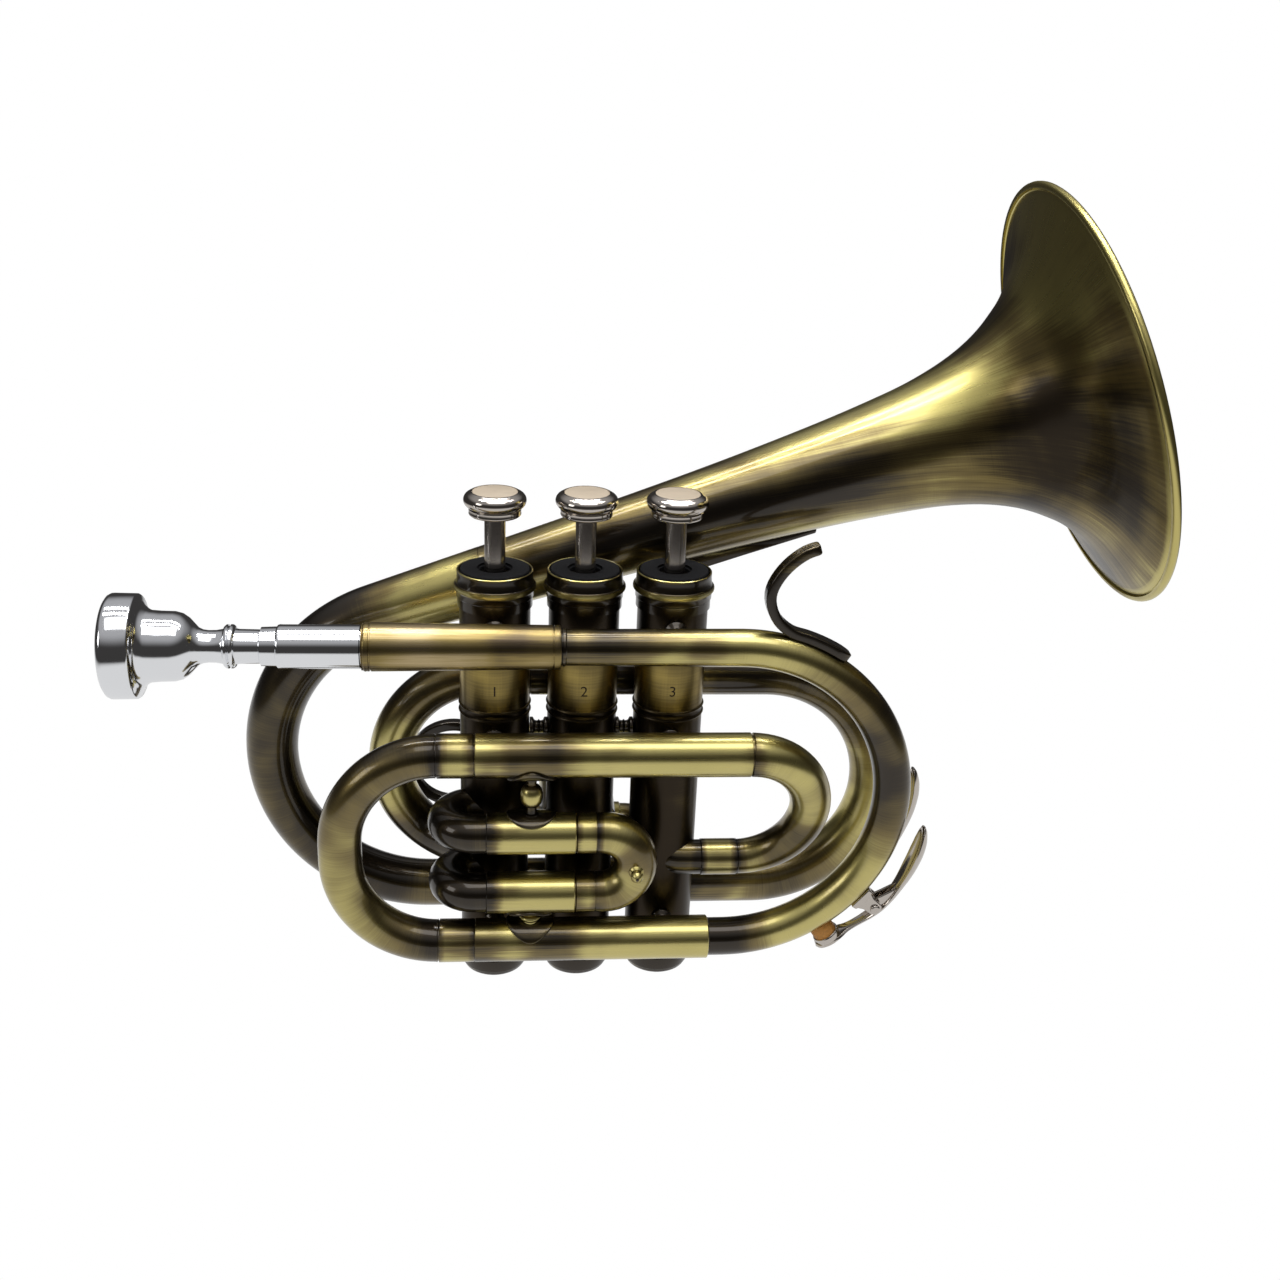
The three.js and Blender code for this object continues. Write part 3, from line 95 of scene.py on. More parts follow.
# The studio. Lamps: name, place, size, power, aim. The camera's place is in millimetres, its turn in degrees.
LAMPS = (
    ("soft box", (0.05, -0.3, 1.0), (0.8, 0.45), 3.0, (0.02, 0, 0.09)),
    ("near tube", (0.05, 0.06, 1.05), (1.1, 0.06), 3.8, (0.05, 0, 0.09)),
    ("far tube", (0.05, 0.32, 1.05), (1.1, 0.06), 3.6, (0.05, 0, 0.09)),
    ("side box", (-0.9, -0.45, 0.5), (0.35, 0.35), 1.2, (0.0, 0, 0.1)),
)
CAMERA_AT, CAMERA_YAW, CAMERA_PITCH, CAMERA_ROLL = Vector((-22.377, -375.923, 260.384)), 5.85, 22.03, 2.39
FLOOR_SIZE, FLOOR_DROP = 30, 0.0002


# Settings

def count_setting(name, description, default, low, high):
    return bpy.props.IntProperty(name=name, description=description, default=default, min=low, max=high)


def length_setting(name, description, default, unit="LENGTH"):
    return bpy.props.FloatProperty(name=name, description=description, default=default * MM, min=0, unit=unit)


def colour_setting(name, description, default):
    return bpy.props.FloatVectorProperty(name=name, description=description, default=default,
                                         subtype="COLOR", size=3, min=0, max=1)


class HornSizes(bpy.types.PropertyGroup):
    tube_sides: count_setting("Tube sides", "Faces round a tube", 40, 12, 96)
    valve_sides: count_setting("Valve sides", "Faces round a valve casing or cap", 72, 24, 144)
    bell_sides: count_setting("Bell sides", "Faces round the bell", 112, 32, 256)
    knurl_cuts: count_setting("Knurl cuts", "Cuts round the grip of a top cap", 60, 24, 90)
    bend_step: length_setting("Bend step", "Length of a tube's rings where it bends", 1.6)
    number_step: length_setting("Number step", "Length of a casing's rings, which its number is cut into",
                                0.7)
    edge_round: length_setting("Edge rounding", "Rounding on the edges of small turned parts", 0.1)
    number_height: length_setting("Number height", "Height of the engraved valve numbers", 3.1)
    number_depth: length_setting("Number depth", "Depth of the engraved valve numbers", 0.18)


class HornColours(bpy.types.PropertyGroup):
    brass: colour_setting("Brass", "Brushed brass where the patina is rubbed off", (0.62, 0.535, 0.185))
    half: colour_setting("Half patina", "Olive brown between the brass and its darkest patina",
                         (0.20, 0.15, 0.055))
    patina: colour_setting("Patina", "Dark brown of the aged brass", (0.035, 0.026, 0.017))
    pale: colour_setting("Pale brass", "Brass of the mouthpiece receiver", (0.50, 0.39, 0.21))
    silver: colour_setting("Silver", "Plating of the mouthpiece", (0.86, 0.87, 0.89))
    nickel: colour_setting("Nickel", "Plating of the buttons, stems and water keys", (0.58, 0.53, 0.48))
    felt: colour_setting("Felt", "Felts under the buttons", (0.012, 0.012, 0.013))
    cork: colour_setting("Cork", "Corks of the water keys", (0.50, 0.22, 0.035))
    inlay: colour_setting("Inlay", "Discs in the finger buttons", (0.60, 0.50, 0.38))


class StudioSettings(bpy.types.PropertyGroup):
    floor: colour_setting("Floor", "Colour of the floor and the sweep behind the horn", (0.9, 0.9, 0.9))
    room: colour_setting("Room", "Colour of the unlit room that the horn reflects", (0.045, 0.043, 0.042))
    ceiling: colour_setting("Ceiling", "Colour of the ceiling that the horn reflects", (0.42, 0.42, 0.43))
    table_light: bpy.props.FloatProperty(
        name="Table light", description="How bright the table looks in the horn", default=0.85, min=0, max=1)
    table_edge: length_setting("Table edge", "Distance at which the reflected table starts to fade", 320)
    lamps: bpy.props.FloatProperty(
        name="Lamps", description="Brightness of all the lamps", default=1.0, min=0)
    lens: length_setting("Lens", "Focal length of the camera", 40.24, "CAMERA")


# Modelling

OUTWARD = (bpy.ops.mesh.normals_make_consistent, {"inside": False})


def only(piece):
    """Selects this object alone, ready for an operator."""
    bpy.ops.object.select_all(action="DESELECT")
    piece.select_set(True)
    bpy.context.view_layer.objects.active = piece


def shaped(piece, kind, **settings):
    """Adds a modifier and applies it."""
    only(piece)
    modifier = piece.modifiers.new(kind, kind)
    for name, value in settings.items():
        setattr(modifier, name, value)
    bpy.ops.object.modifier_apply(modifier=modifier.name)


def edited(piece, *steps):
    """Runs edit-mode operators on the whole of a mesh."""
    only(piece)
    bpy.ops.object.mode_set(mode="EDIT")
    bpy.ops.mesh.select_all(action="SELECT")
    for step, settings in steps:
        step(**settings)
    bpy.ops.object.mode_set(mode="OBJECT")


def pushed(way):
    """The step that extrudes what is selected along a way, in metres."""
    return bpy.ops.mesh.extrude_region_move, {"TRANSFORM_OT_translate": {"value": way}}


def smoothed(piece, degrees):
    """Shades smooth across the edges that turn by less than this."""
    only(piece)
    bpy.ops.object.shade_smooth_by_angle(angle=math.radians(degrees))
    return piece


def rounded(piece, width, degrees, segments=3):
    """Rounds the edges that turn by more than this. The width is in metres."""
    shaped(piece, "BEVEL", width=width, segments=segments, limit_method="ANGLE",
           angle_limit=math.radians(degrees))


def moved(piece, matrix):
    """Moves and turns a body, so that its place ends up in its mesh."""
    only(piece)
    piece.matrix_world = matrix
    bpy.ops.object.transform_apply(location=True, rotation=True, scale=True)
    return piece


def laid(piece, at, way):
    """Turns a body made along x to its way, and moves it to its place in millimetres."""
    turn = Vector(way).to_track_quat("X", "Z").to_matrix().to_4x4()
    return moved(piece, Matrix.Translation(Vector(at) * MM) @ turn)


def joined(name, *pieces):
    """Joins pieces into the first one."""
    bpy.ops.object.select_all(action="DESELECT")
    for piece in pieces:
        piece.select_set(True)
    bpy.context.view_layer.objects.active = pieces[0]
    bpy.ops.object.join()
    pieces[0].name = pieces[0].data.name = name
    return pieces[0]


def line(name, points):
    """A chain of edges, drawn by extruding one vertex from point to point. Points are in metres."""
    bpy.ops.object.select_all(action="DESELECT")
    bpy.ops.mesh.primitive_plane_add(size=MM)
    piece = bpy.context.object
    piece.name = piece.data.name = name
    edited(piece, (bpy.ops.mesh.merge, {"type": "CENTER"}),
           (bpy.ops.transform.translate, {"value": points[0]}),
           *[pushed(b - a) for a, b in zip(points, points[1:])])
    return piece


def between(stops, at):
    """The value at a place in a list of (place, value) stops."""
    for (a, low), (b, high) in zip(stops, stops[1:]):
        if at <= b:
            return low + (high - low) * (max(at - a, 0) / (b - a) if b > a else 1)
    return stops[-1][1]


def mark(piece, name, values, kind="FLOAT"):
    """Stores a value for each vertex, which the finishes read."""
    if name in piece.data.attributes:
        piece.data.attributes.remove(piece.data.attributes[name])
    layer = piece.data.attributes.new(name, kind, "POINT")
    for slot, value in zip(layer.data, values):
        if kind == "FLOAT":
            slot.value = value
        else:
            slot.vector = value


def patch(along, degrees, place):
    """How much a bright or dark place adds to the patina here. On the bell these places also paint reflection
    into it.
    """
    middle, turn, half, spread, amount = place
    across = (degrees - turn + 180) % 360 - 180
    return amount * math.exp(-((along - middle) / half) ** 2 - (across / spread) ** 2)


CUT_SHADE = 1.4


def grained(piece, dark=((0, 0.5),), rings=((0, 0),), patches=(), twist=0.0, unrolled=0.0, cut=0.0,
            gloss=((0, 1),)):
    """Marks each vertex while the piece is still straight along x: its place, how dark its patina is, with
    painted reflection on the bell and painted shade on the bell brace, how far its brushing runs round the
    piece rather than along it, and how much lacquer it has.
    Twist, in degrees per millimetre, slants the brushing. Unrolled is the radius, in millimetres, that the
    brushing of a flare is laid out on. What lies below the cut radius is as dark as engraving."""
    places, shades = [], []
    for vertex in piece.data.vertices:
        along, y, z = vertex.co / MM
        radius, degrees = math.hypot(y, z), math.degrees(math.atan2(z, -y))
        shade = between(dark, along) + sum(patch(along, degrees, place) for place in patches)
        shades.append(shade if radius > cut else CUT_SHADE)
        turn, reach = math.radians(degrees + twist * along), unrolled or radius
        ahead = along + (radius if unrolled else 0)
        places.append(Vector((ahead, -reach * math.cos(turn), reach * math.sin(turn))) * MM)
    mark(piece, "grain", places, "FLOAT_VECTOR")
    mark(piece, "dark", shades)
    mark(piece, "gloss", [between(gloss, v.co.x / MM) for v in piece.data.vertices])
    mark(piece, "rings", [between(rings, v.co.x / MM) for v in piece.data.vertices])


def lathe(name, outline, sides, dark=((0, 0.5),), rings=((0, 1),), edge=0.0, step=0.0, smooth=35, **grain):
    """A body turned on the x axis from (along, radius) pairs in millimetres. Edge is a share of the edge
    rounding. Runs longer than a step, in metres, are divided, so that the body can bend."""
    points = [Vector((a * MM, 0, r * MM)) for a, r in outline]
    if step:
        divided = points[:1]
        for a, b in zip(points, points[1:]):
            parts = max(1, math.ceil(abs(b.x - a.x) / step - 0.5))
            divided += [a.lerp(b, (k + 1) / parts) for k in range(parts)]
        points = divided
    piece = line(name, points)
    shaped(piece, "SCREW", axis="X", steps=sides, render_steps=sides, use_merge_vertices=True,
           merge_threshold=1e-6)
    edited(piece, (bpy.ops.mesh.remove_doubles, {"threshold": 2e-6}), OUTWARD)
    if edge:
        rounded(piece, edge * bpy.context.scene.horn_sizes.edge_round, 28, 2)
    grained(piece, dark, rings, **grain)
    return smoothed(piece, smooth)


def turned(name, outline, sides, at, way, **look):
    """A body turned about a line through a place."""
    return laid(lathe(name, outline, sides, **look), at, way)


class Route:
    """The middle line of a tube, in millimetres, laid down straight by straight and bend by bend.
    Marks are the distances along it at which they start and end."""

    def __init__(self, at, way):
        self.points = [Vector(at)]
        self.way = Vector(way).normalized()
        self.marks = [0.0]

    def add(self, points):
        steps = [(b - a).length for a, b in zip([self.points[-1], *points], points)]
        self.marks.append(self.marks[-1] + sum(steps))
        self.points += points
        return self

    def straight(self, length):
        return self.add([self.points[-1] + self.way * length])

    def turn(self, radius, degrees, axis):
        here, steps = self.points[-1], max(6, round(abs(degrees) / 3))
        centre = here + axis.cross(self.way) * radius
        turns = [Matrix.Rotation(math.radians(degrees) * (k + 1) / steps, 3, axis) for k in range(steps)]
        self.way = turns[-1] @ self.way
        return self.add([centre + turn @ (here - centre) for turn in turns])

    def swing(self, pull, end, way, steps=28):
        """A free bend that arrives at its end going this way."""
        a, d = self.points[-1], Vector(end)
        b, c = a + self.way * pull, d - way * pull
        self.way = way
        shares = [(k + 1) / steps for k in range(steps)]
        return self.add([a * (1 - t) ** 3 + b * 3 * t * (1 - t) ** 2 + c * 3 * t * t * (1 - t) + d * t ** 3
                         for t in shares])

    def length(self):
        return sum((b - a).length for a, b in zip(self.points, self.points[1:]))

    def curve(self):
        bpy.ops.object.select_all(action="DESELECT")
        bpy.ops.curve.primitive_nurbs_path_add()
        path = bpy.context.object
        path.data.splines.clear()
        spline = path.data.splines.new("POLY")
        spline.points.add(len(self.points) - 1)
        for slot, place in zip(spline.points, self.points):
            slot.co = (*(place * MM), 1)
        path.data.twist_mode = "MINIMUM"
        path.data.use_radius = False
        return path


def slide_route(at, way, leg, run, radius, axis):
    """A slide's middle line: a leg, a short run, a half turn and back."""
    return Route(at, way).straight(leg).straight(run).turn(radius, 180, axis).straight(run).straight(leg)


def tube(name, route, radii, dark, rings=((0, 0),), sides=0):
    """A tube along a route, with (along, radius) stops for its skin, closed at its ends."""
    sizes = bpy.context.scene.horn_sizes
    outline = [(radii[0][0], 0), *radii, (radii[-1][0], 0)]
    piece = lathe(name, outline, sides or sizes.tube_sides, dark, rings, step=sizes.bend_step)
    path = route.curve()
    shaped(piece, "CURVE", object=path, deform_axis="POS_X")
    bpy.data.objects.remove(path)
    return piece


def arc(middle, radius, start, end, steps=6):
    """Points of a rounding, as (along, radius) pairs."""
    angles = [math.radians(start + (end - start) * k / steps) for k in range(steps + 1)]
    return [(middle[0] + radius * math.cos(a), middle[1] + radius * math.sin(a)) for a in angles]


def seam(at, radius, depth=0.22, width=0.3):
    """A dark joint line turned round a tube."""
    return [(at - width / 2, radius), (at - width / 4, radius - depth),
            (at + width / 4, radius - depth), (at + width / 2, radius)]


def mirrored(half, end, *middle):
    """Stops that are the same from both ends of a tube, with what lies in the middle."""
    return [*half, *middle, *[(end - along, value) for along, value in reversed(half)]]


def sleeved(step, end):
    """The skin of a valve's tube, which widens into the sleeve for a slide's leg."""
    return [(0, 5.6), (step - 0.1, 5.6), (step, 5.85), (step + 0.2, 6.05), (end - 0.2, 6.05), (end, 5.85),
            (end, 5.4)]


def filled(stops, parts=4):
    """More stops, on a smooth line through the given ones."""
    out = []
    for k in range(len(stops) - 1):
        before, start, end, after = (stops[min(max(i, 0), len(stops) - 1)] for i in (k - 1, k, k + 1, k + 2))
        width = end[0] - start[0]
        rise_in = width * (end[1] - before[1]) / (end[0] - before[0])
        rise_out = width * (after[1] - start[1]) / (after[0] - start[0])
        for t in (part / parts for part in range(parts)):
            value = ((2 * t ** 3 - 3 * t * t + 1) * start[1] + (t ** 3 - 2 * t * t + t) * rise_in
                     + (3 * t * t - 2 * t ** 3) * end[1] + (t ** 3 - t * t) * rise_out)
            out.append((start[0] + width * t, value))
    return [*out, stops[-1]]


def spaced(points, step):
    """A smooth line through points, with places about a step apart."""
    out = []
    for k in range(len(points) - 1):
        a, b, c, d = (Vector(points[i]) for i in (max(k - 1, 0), k, k + 1, min(k + 2, len(points) - 1)))
        parts = max(1, round((c - b).length / step))
        for t in (i / parts for i in range(parts)):
            out.append(0.5 * (2 * b + (c - a) * t + (2 * a - 5 * b + 4 * c - d) * t * t
                              + (3 * b - a - 3 * c + d) * t ** 3))
    return out + [Vector(points[-1])]


def ribbon(name, points, widths, thickness, round_edge, rows=6, dishes=None):
    """A bent strip: its middle line is pushed across in rows, each ring is set to its width and dished, and
    it is thickened. Points and sizes are in millimetres."""
    piece = line(name, [Vector(p) * MM for p in points])
    edited(piece, (bpy.ops.transform.translate, {"value": -Y * MM}), *[pushed(Y * 2 / rows * MM)] * rows)
    places = [Vector(p) for p in points]
    middle, last = places[0].y, len(places) - 1
    for vertex in piece.data.vertices:
        here = vertex.co / MM
        share = here.y - middle
        flat = here - Y * share
        nearest = min(range(len(places)), key=lambda k: (places[k] - flat).length)
        after, before = places[min(nearest + 1, last)], places[max(nearest - 1, 0)]
        rise = (after - before).cross(Y).normalized() * (dishes[nearest] if dishes else 0)
        vertex.co = (flat + Y * share * widths[nearest] / 2 + rise * (share * share - 0.4)) * MM
    edited(piece, OUTWARD)
    shaped(piece, "SOLIDIFY", thickness=thickness * MM, offset=0.0, use_even_offset=True)
    edited(piece, OUTWARD)
    rounded(piece, round_edge * MM, 50)
    return smoothed(piece, 40)


def slab(name, outline, middle, width, round_edge):
    """A plate with rounded edges, cut to an outline of points in an upright plane and set across it."""
    near = Y * (middle - width / 2)
    piece = line(name, [(Vector((p[0], 0, p[2])) + near) * MM for p in outline])
    edited(piece, (bpy.ops.mesh.edge_face_add, {}), pushed(Y * width * MM))
    edited(piece, OUTWARD)
    rounded(piece, round_edge * MM, 30)
    return smoothed(piece, 40)


def placed(piece, finish, body, slot, *nodes):
    """Gives a piece its finish and its CAD body, and hides the CAD nodes that it stands for. The slot
    argument is not used.
    """
    piece.data.materials.clear()
    piece.data.materials.append(finishes[finish])
    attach(piece, body)
    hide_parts(*nodes)
    return piece


def in_brass(piece, *nodes, body="horn", finish="brass"):
    """Places a piece in the aged brass that most of the horn is made of."""
    return placed(piece, finish, body, "aged_brass", *nodes)


# Finishes

class Link:
    """A socket's value, which can be used in a sum."""

    def __init__(self, recipe, socket):
        self.recipe, self.socket = recipe, socket

    def sum(self, operation, *values):
        return self.recipe.node("ShaderNodeMath", {"operation": operation}, values)

    def __add__(self, other): return self.sum("ADD", self, other)
    def __radd__(self, other): return self.sum("ADD", other, self)
    def __sub__(self, other): return self.sum("SUBTRACT", self, other)
    def __rsub__(self, other): return self.sum("SUBTRACT", other, self)
    def __mul__(self, other): return self.sum("MULTIPLY", self, other)
    def __rmul__(self, other): return self.sum("MULTIPLY", other, self)

    def held(self):
        return self.recipe.node("ShaderNodeClamp", {}, [self])


class Recipe:
    """The nodes of one finish, or of the room."""

    def __init__(self, holder):
        holder.use_nodes = True
        self.holder, self.tree = holder, holder.node_tree
        self.tree.nodes.clear()

    def node(self, kind, settings=None, inputs=(), output=0):
        """Adds a node, with its settings first and then the values or links of its sockets."""
        made = self.tree.nodes.new(kind)
        for name, value in (settings or {}).items():
            setattr(made, name, value)
        for key, value in inputs.items() if isinstance(inputs, dict) else enumerate(inputs):
            if isinstance(value, Link):
                self.tree.links.new(value.socket, made.inputs[key])
            else:
                made.inputs[key].default_value = value
        return Link(self, made.outputs[output]) if len(made.outputs) else None

    def attribute(self, name, output="Fac"):
        settings = {"attribute_type": "GEOMETRY", "attribute_name": name}
        return self.node("ShaderNodeAttribute", settings, output=output)

    def object_place(self):
        return self.node("ShaderNodeTexCoord", output="Object")

    def ray(self, kind):
        return self.node("ShaderNodeLightPath", output=kind)

    def scaled(self, vector, x, y, z):
        return self.node("ShaderNodeMapping", {"vector_type": "POINT"},
                         {"Vector": vector, "Scale": (x, y, z)})

    def noise(self, vector, scale=1.0, detail=3.0, roughness=0.5, distortion=0.0):
        values = {"Vector": vector, "Scale": scale, "Detail": detail, "Roughness": roughness,
                  "Distortion": distortion}
        return self.node("ShaderNodeTexNoise", {"noise_dimensions": "3D"}, values)

    def mix(self, share, a, b):
        return self.node("ShaderNodeMix", {"data_type": "RGBA"}, {0: share, 6: colour4(a), 7: colour4(b)}, 2)

    def blend(self, share, a, b):
        return self.node("ShaderNodeMix", {"data_type": "FLOAT"}, {0: share, 2: a, 3: b})

    def smooth(self, value, low, high):
        return self.node("ShaderNodeMapRange", {"interpolation_type": "SMOOTHSTEP"},
                         [value, low, high, 0.0, 1.0])

    def bump(self, height, strength, distance):
        values = {"Height": height, "Strength": strength, "Distance": distance}
        return self.node("ShaderNodeBump", {}, values, "Normal")

    def glow(self, colour):
        return self.node("ShaderNodeEmission", {}, {"Color": colour4(colour), "Strength": 1.0})

    def surface(self, **inputs):
        inputs = {name.replace("_", " "): value for name, value in inputs.items()}
        inputs["Base Color"] = colour4(inputs["Base Color"])
        shader = self.node("ShaderNodeBsdfPrincipled", {}, inputs)
        self.node("ShaderNodeOutputMaterial", {}, {"Surface": shader})
        return self.holder


def colour4(value):
    """A colour with its alpha, or a link as it is."""
    return value if isinstance(value, Link) else (*value[:3], 1.0)


def toned(colour, amount):
    """A colour made lighter or darker."""
    return [min(1, c * amount) for c in colour]


def finish_recipe(name):
    return Recipe(bpy.data.materials.new(name))


def brushed_brass(name, colour, half, patina, least_dark=0.0, cloudy=1.1):
    """Brushed brass under lacquer: bright where it is rubbed, dark brown where the patina stays."""
    r = finish_recipe(name)
    place, rings, dark = r.attribute("grain", "Vector"), r.attribute("rings"), r.attribute("dark")
    lengthwise = r.noise(r.scaled(place, 45, 2600, 2600), 1, 3, 0.6)
    round_it = r.noise(r.scaled(place, 3000, 60, 60), 1, 3, 0.6)
    brush = r.blend(rings, lengthwise, round_it)
    broad = r.blend(rings, r.noise(r.scaled(place, 14, 260, 260), 1, 2),
                    r.noise(r.scaled(place, 70, 30, 30), 1, 2))
    clouds = r.noise(place, 38, 2, 0.5, 0.3)
    share = dark + (clouds - 0.5) * cloudy + (broad - 0.5) * r.blend(rings, 0.6, 0.35)
    share = r.smooth(share + (brush - 0.5) * r.blend(rings, 0.45, 0.14) + least_dark, 0.05, 0.95)
    golden = [c * w for c, w in zip(colour, (1.05, 1.04, 1.1))]
    base = r.mix((clouds * 1.4 - 0.3).held(), toned(colour, 0.94), golden)
    base = r.mix(r.smooth(share, 0.0, 0.55), base, half)
    base = r.mix(r.smooth(share, 0.45, 1.0), base, patina)
    roughness = 0.29 + (brush - 0.5) * r.blend(rings, 0.2, 0.1) + share * 0.05
    return r.surface(Base_Color=base, Metallic=1.0, Roughness=roughness, Normal=r.bump(brush, 0.15, 0.00006),
                     Coat_Weight=r.attribute("gloss") * 0.7, Coat_Roughness=0.08)


def plated(name, colour, roughness, wear):
    """Polished plating with faint polishing marks."""
    r = finish_recipe(name)
    place = r.object_place()
    marks = r.noise(r.scaled(place, 400, 400, 1900), 1, 3, 0.6)
    film = r.noise(place, 90, 2, 0.5)
    base = r.mix((film * wear).held(), colour, toned(colour, 0.72))
    return r.surface(Base_Color=base, Metallic=1.0, Roughness=roughness + (marks - 0.5) * 0.02 + film * 0.03,
                     Normal=r.bump(film, 0.02, 0.0001))


def pressed_felt(name, colour):
    """Dull felt with its fibres showing."""
    r = finish_recipe(name)
    fibres = r.noise(r.object_place(), 2600, 4, 0.7, 0.6)
    base = r.mix(fibres, toned(colour, 0.5), toned(colour, 2.2))
    return r.surface(Base_Color=base, Roughness=0.95, Specular_IOR_Level=0.15,
                     Normal=r.bump(fibres, 0.6, 0.0003))


def amber_cork(name, colour):
    """Waxed cork with its cells showing."""
    r = finish_recipe(name)
    cells = r.noise(r.object_place(), 900, 4, 0.65)
    base = r.mix(cells, toned(colour, 0.55), toned(colour, 1.5))
    return r.surface(Base_Color=base, Roughness=0.45 + cells * 0.2, Normal=r.bump(cells, 0.3, 0.0002))


def pearl(name, colour):
    """A smooth cream disc with a faint swirl."""
    r = finish_recipe(name)
    swirl = r.noise(r.scaled(r.object_place(), 150, 320, 150), 1, 3, 0.55, 1.2)
    base = r.mix(swirl, toned(colour, 0.86), toned(colour, 1.12))
    return r.surface(Base_Color=base, Roughness=0.28 + swirl * 0.1, Coat_Weight=0.3, Coat_Roughness=0.1,
                     Normal=r.bump(swirl, 0.05, 0.0001))


finishes = {}


class HORN_OT_finishes(bpy.types.Operator):
    """Makes the horn's finishes"""
    bl_idname = "horn.finishes"
    bl_label = "Finishes"

    def execute(self, context):
        c = context.scene.horn_colours
        warm = [x * w for x, w in zip(c.brass, (1.0, 0.86, 0.66))]
        finishes.update({
            "brass": brushed_brass("aged brass", c.brass, c.half, c.patina),
            # Darker aged brass; on the bell brace it also carries painted shade
            "dark brass": brushed_brass("dark aged brass", c.brass, c.half, c.patina, 0.25),
            "bell brass": brushed_brass("bell brass", c.brass, c.half, c.patina, cloudy=0.6),
            "warm brass": brushed_brass("warm brass", warm, c.half, c.patina),
            "pale brass": brushed_brass("pale brass", c.pale, toned(c.half, 1.5), toned(c.patina, 3)),
            "silver": plated("silver plate", c.silver, 0.08, 0.15),
            "nickel": plated("nickel plate", c.nickel, 0.11, 0.35),
            "satin nickel": plated("satin nickel", c.nickel, 0.22, 0.3),
            "felt": pressed_felt("black felt", c.felt),
            "cork": amber_cork("amber cork", c.cork),
            "inlay": pearl("cream inlay", c.inlay),
        })
        return {"FINISHED"}


# Valves

NUMBER_Z, DIGIT_SIZE, DIGIT_HALF = 95.6, 1.42, 1.5


def digit(number, sizes):
    """A block in the shape of a valve's number, set into the front of its casing to the depth of the cut."""
    bpy.ops.object.select_all(action="DESELECT")
    bpy.ops.object.text_add()
    text = bpy.context.object.data
    text.body = str(number)
    text.align_x, text.align_y = "CENTER", "CENTER"
    text.size, text.extrude = sizes.number_height * DIGIT_SIZE, DIGIT_HALF * MM
    bpy.ops.object.convert(target="MESH")
    block = bpy.context.object
    place = Vector((0, -CASING_R - DIGIT_HALF, NUMBER_Z)) * MM + Vector((0, sizes.number_depth, 0))
    moved(block, Matrix.Translation(place) @ Matrix.Rotation(math.pi / 2, 4, "X"))
    edited(block, (bpy.ops.mesh.remove_doubles, {"threshold": 1e-6}), OUTWARD)
    return block


def casing(number):
    """A valve casing with its two raised rings, and its number cut into the front."""
    sizes, r = bpy.context.scene.horn_sizes, CASING_R
    outline = [
        (2.8, 0), (2.8, 9.4), (8.4, 9.4), (8.4, r), (85.9, r), *arc((86.5, r), 0.42, 180, 0, 4),
        (87.3, r - 0.1), (88.2, r - 0.1), *arc((88.8, r), 0.42, 180, 0, 4), (89.8, r), (118.3, r),
        (118.3, 9.4), (126.2, 9.4), (126.2, 0)
    ]
    shade = [(0, 1), (30, 0.95), (60, 0.9), (84, 0.85), (86, 0.6), (88, 0.6), (90, 0.5), (94, 0.35),
             (101, 0.37), (107, 0.65), (111, 0.95), (128, 1)]
    body = lathe(f"valve_casing_skin_{number}", outline, sizes.valve_sides, step=sizes.number_step)
    upright = Matrix.Rotation(-math.pi / 2, 4, "Y")
    moved(body, upright)
    block = digit(number, sizes)
    shaped(body, "BOOLEAN", object=block, operation="DIFFERENCE", solver="EXACT")
    bpy.data.objects.remove(block)
    moved(body, Matrix.Rotation(math.pi / 2, 4, "Y"))
    grained(body, shade, [(0, 0.7)], cut=r - 0.05, gloss=[(0, 0.1)])
    smoothed(body, 35)
    return moved(body, Matrix.Translation((VALVES[number] * MM, 0, 0)) @ upright)


def knurled(piece, cuts, low, high, depth):
    """Pushes every other line of the grip's vertices in."""
    only(piece)
    for vertex in piece.data.vertices:
        along, y, z = vertex.co
        vertex.select = low * MM < along < high * MM and round(math.atan2(y, z) * cuts / math.pi) % 2 == 1
    for part in (piece.data.edges, piece.data.polygons):
        part.foreach_set("select", [False] * len(part))
    bpy.ops.object.mode_set(mode="EDIT")
    bpy.ops.transform.resize(value=(1, 1 - depth, 1 - depth), center_override=(0, 0, 0))
    bpy.ops.object.mode_set(mode="OBJECT")


def top_cap(number):
    """The screwed top cap: brown skirt, knurled bead, and a bright thin lip round its seat for the felt."""
    cuts = bpy.context.scene.horn_sizes.knurl_cuts
    outline = [
        (118.4, 9.6), (118.4, 10.5), (121.0, 10.5), (121.3, 10.75), (122.8, 10.8), (123.1, 10.95),
        (123.4, 11.2), (123.6, 11.42), (124.1, 11.5), (124.6, 11.42), (124.8, 11.2), (125.1, 10.85),
        (126.0, 10.65), (127.6, 10.55), (128.3, 10.6), (128.65, 10.55), (128.8, 10.35), (128.7, 10.1),
        (127.3, 10.0), (127.3, 3.5), (126.6, 3.5), (126.6, 9.6), (118.4, 9.6)
    ]
    shade = [(118, 1.0), (121, 0.95), (122.9, 0.9), (123.5, 0.35), (124.6, 0.3), (125.1, 0.95), (126.4, 1.1),
             (127.6, 1.1), (128.3, 0.8), (128.6, 0.3)]
    cap = lathe(f"top_cap_skin_{number}", outline, cuts * 2, shade)
    knurled(cap, cuts, 123.5, 124.7, 0.045)
    return laid(cap, (VALVES[number], 0, 0), Z)


